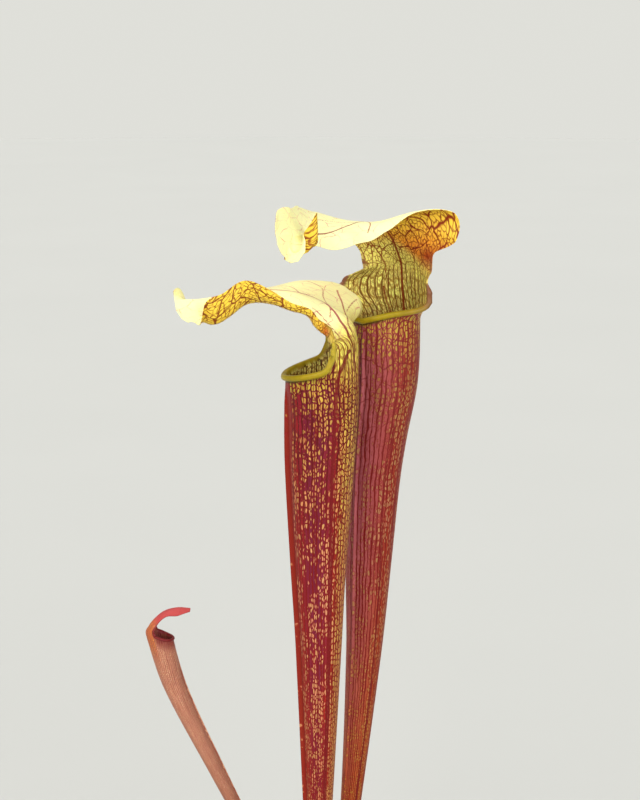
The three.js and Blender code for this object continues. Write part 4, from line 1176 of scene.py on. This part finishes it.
# Drawn veins: whether on the inner face, half width, then points (across, along) in mm
FRONT.veins = [
    (False, 0.75, (10, -60), (9, -25), (11, -12), (15, 1), (16, 11), (14, 18), (12, 26), (8, 33),
     (3, 41), (0, 50), (0, 59), (2, 70), (0, 82), (0, 95), (0, 116)),
    (False, 0.45, (16, -14), (12, 4), (10.6, 17.6), (6.6, 22.4), (-4, 26), (-11, 29), (-18, 33), (-30, 42)),
    (False, 0.25, (-8, 25), (-20, 27), (-33, 30)),
    (False, 0.3, (15, 34), (4, 38), (-8, 43), (-22, 48), (-31, 60)),
    (False, 0.3, (17, 49), (17.4, 41.5), (19, 34), (21, 22), (22, 8), (22, -10)),
    (False, 0.3, (2, 58), (-10, 64), (-18, 75), (-22, 86)),
    (True, 0.3, (0, 30), (0, 60), (0, 112)),
    (True, 0.0, (2, 40), (14, 52), (24, 68), (28, 84)),
    (True, 0.0, (1, 66), (12, 78), (20, 92), (24, 104)),
    (False, 1.1, (20, 2), (29, -22), (28, -80), (22.5, -140), (17.5, -205), (10, -350), (7, -425)),
    (False, 0.35, (43, -30), (40, -80), (33, -140), (25, -205), (14, -350), (10, -425)),
    (False, 0.35, (-29, -22), (-29, -80), (-22.5, -140), (-17.5, -205), (-10, -350)),
    (False, 0.3, (30, -30), (38, -38), (42, -60)),
    (False, 0.3, (43, -30), (48, -60), (46, -100)),
]
BACK.veins = [
    (True, 0.85, (-1, -60), (-1.3, -17), (-0.4, -8), (1.3, 21), (2.6, 39), (1, 60), (0, 90), (0, 125)),
    (True, 0.2, (10, -50), (11, 0), (14, 18), (18, 30), (28, 40)),
    (True, 0.35, (-13, -50), (-12, 0), (-12, 20), (-16, 40)),
    (True, 0.0, (19, -50), (20, 0), (26, 20), (42, 30)),
    (False, 0.55, (0, -60), (0, 0), (0, 40), (0, 70), (0, 91), (0.6, 109), (0, 128)),
    (False, 0.25, (0, 60), (-12, 68), (-20, 80)),
    (False, 0.25, (0, 78), (-10, 86), (-16, 98), (-15, 110)),
    (False, 0.25, (0, 70), (9, 76), (15, 86)),
    (True, -0.15, (14, 22), (24, 26), (36, 32), (48, 36)),
    (True, -0.15, (24, 26), (27, 38), (34, 46), (46, 50)),
    (True, -0.15, (11, 20), (12, 32), (20, 44), (30, 56)),
    (False, 0.5, (44, -30), (42, -90), (34, -170), (22, -270), (12, -400)),
    (False, 0.4, (30, -30), (29, -90), (23, -170), (15, -270), (8, -400)),
]
vars(FRONT).update(
    paint=skin, strip=1.0, throat=1.0, fire=0.0, lime_to=20, open=0.475, shy=0.0, spot_tone=1.06,
    purple_at=105, purple_reach=55, purple=0.55, violet_at=105, violet=0.85,
    line=MAROON, inner_line=DARK_BROWN, under_line=rgb("7c3c10"), midrib=rgb("b03c52"),
    red=rgb("94180f"), sheen=PURPLE, back_flesh=rgb("82280e"), neck_edge=rgb("a4902a"),
    low_colour=rgb("a22a08"), low_spot=rgb("cc8c54"),
)
# On the back pitcher the second flesh colour, the pale mauve over the front half of its tube, is a painted
# sheen of reflected sky.
vars(BACK).update(
    paint=skin, strip=0.0, throat=0.0, fire=0.95, lime_to=42, open=0.50, shy=0.15, spot_tone=0.72,
    purple_at=180, purple_reach=90, purple=0.85, violet_at=180, violet=0.3,
    line=rgb("74221e"), inner_line=rgb("6f4a1a"), under_line=RED_BROWN, midrib=rgb("8f2a2e"),
    red=rgb("8e2a12"), sheen=rgb("c0686c"), back_flesh=rgb("8c3c16"), neck_edge=rgb("7a5038"),
    low_colour=rgb("b05410"), low_spot=rgb("c08024"),
)
SMALL.paint = withered_skin

make_leaf(FRONT)
make_leaf(BACK)
make_leaf(SMALL)

make_pot()
make_mix()
make_rootstock()


# Floor, light and camera, in metres

FLOOR_RADIUS, DOME_RADIUS = 9, 11
CAMERA_PLACE, CAMERA_DIP = (0.0152, -1.2716, 0.7883), 12    # and degrees it looks down
LENS, SENSOR = 88.64, 36                                    # in millimetres


def make_stage():
    """A pale floor, and behind it a dome of the same tone that only the camera sees."""
    bpy.ops.mesh.primitive_circle_add(vertices=96, radius=FLOOR_RADIUS, fill_type="NGON",
                                      location=(0, 0, -0.0005))
    floor = bpy.context.object
    floor.name = "floor"
    n = Nodes("floor_paper")
    shade = n.mix(n.noise(n.place, 2.0, 2.0), rgb("c9cac6"), rgb("cccdc9"))
    floor.data.materials.append(n.finish(Base_Color=shade, Roughness=0.9, Specular_IOR_Level=0.0))
    bpy.ops.mesh.primitive_uv_sphere_add(segments=64, ring_count=32, radius=DOME_RADIUS)
    dome = bpy.context.object
    dome.name = "dome"
    dome.data.shade_smooth()
    n = Nodes("dome_paper")
    shade = n.mix(n.noise(n.place, 0.3, 1.0), rgb("dfdfd9"), rgb("e0e0da"))
    dome.data.materials.append(n.finish(Base_Color=np.zeros(3), Specular_IOR_Level=0.0,
                                        Emission_Color=shade, Emission_Strength=1.0))
    dome.visible_diffuse = dome.visible_glossy = dome.visible_shadow = False
    dome.visible_transmission = dome.visible_volume_scatter = False


def add_light(name, aim, strength, angle, colour=(1, 1, 1)):
    """A broad soft light from far away, shining along aim."""
    lamp = bpy.data.lights.new(name, "SUN")
    lamp.energy, lamp.angle, lamp.color = strength, math.radians(angle), colour
    holder = bpy.data.objects.new(name, lamp)
    holder.rotation_euler = Vector(aim).to_track_quat("-Z", "Y").to_euler()
    bpy.context.scene.collection.objects.link(holder)


make_stage()
add_light("key", (0.62, 0.78, -0.62), 2.3, 55, (1.0, 0.98, 0.94))
add_light("fill", (-1.18, 2.2, -0.4), 2.45, 45, (0.97, 0.98, 1.0))
add_light("back", (0.42, -0.9, -2.1), 1.2, 40)
world = bpy.data.worlds.new("studio")
world.use_nodes = True
sky = world.node_tree.nodes["Background"].inputs
sky["Color"].default_value = (0.88, 0.87, 0.85, 1)
sky["Strength"].default_value = 0.42
bpy.context.scene.world = world
bpy.context.scene.view_settings.view_transform = "Standard"

camera_data = bpy.data.cameras.new("camera")
camera_data.lens, camera_data.sensor_width, camera_data.clip_end = LENS, SENSOR, 100
camera = bpy.data.objects.new("camera", camera_data)
camera.location = CAMERA_PLACE
camera.rotation_euler = (math.radians(90 - CAMERA_DIP), 0, 0)
bpy.context.scene.collection.objects.link(camera)
bpy.context.scene.camera = camera
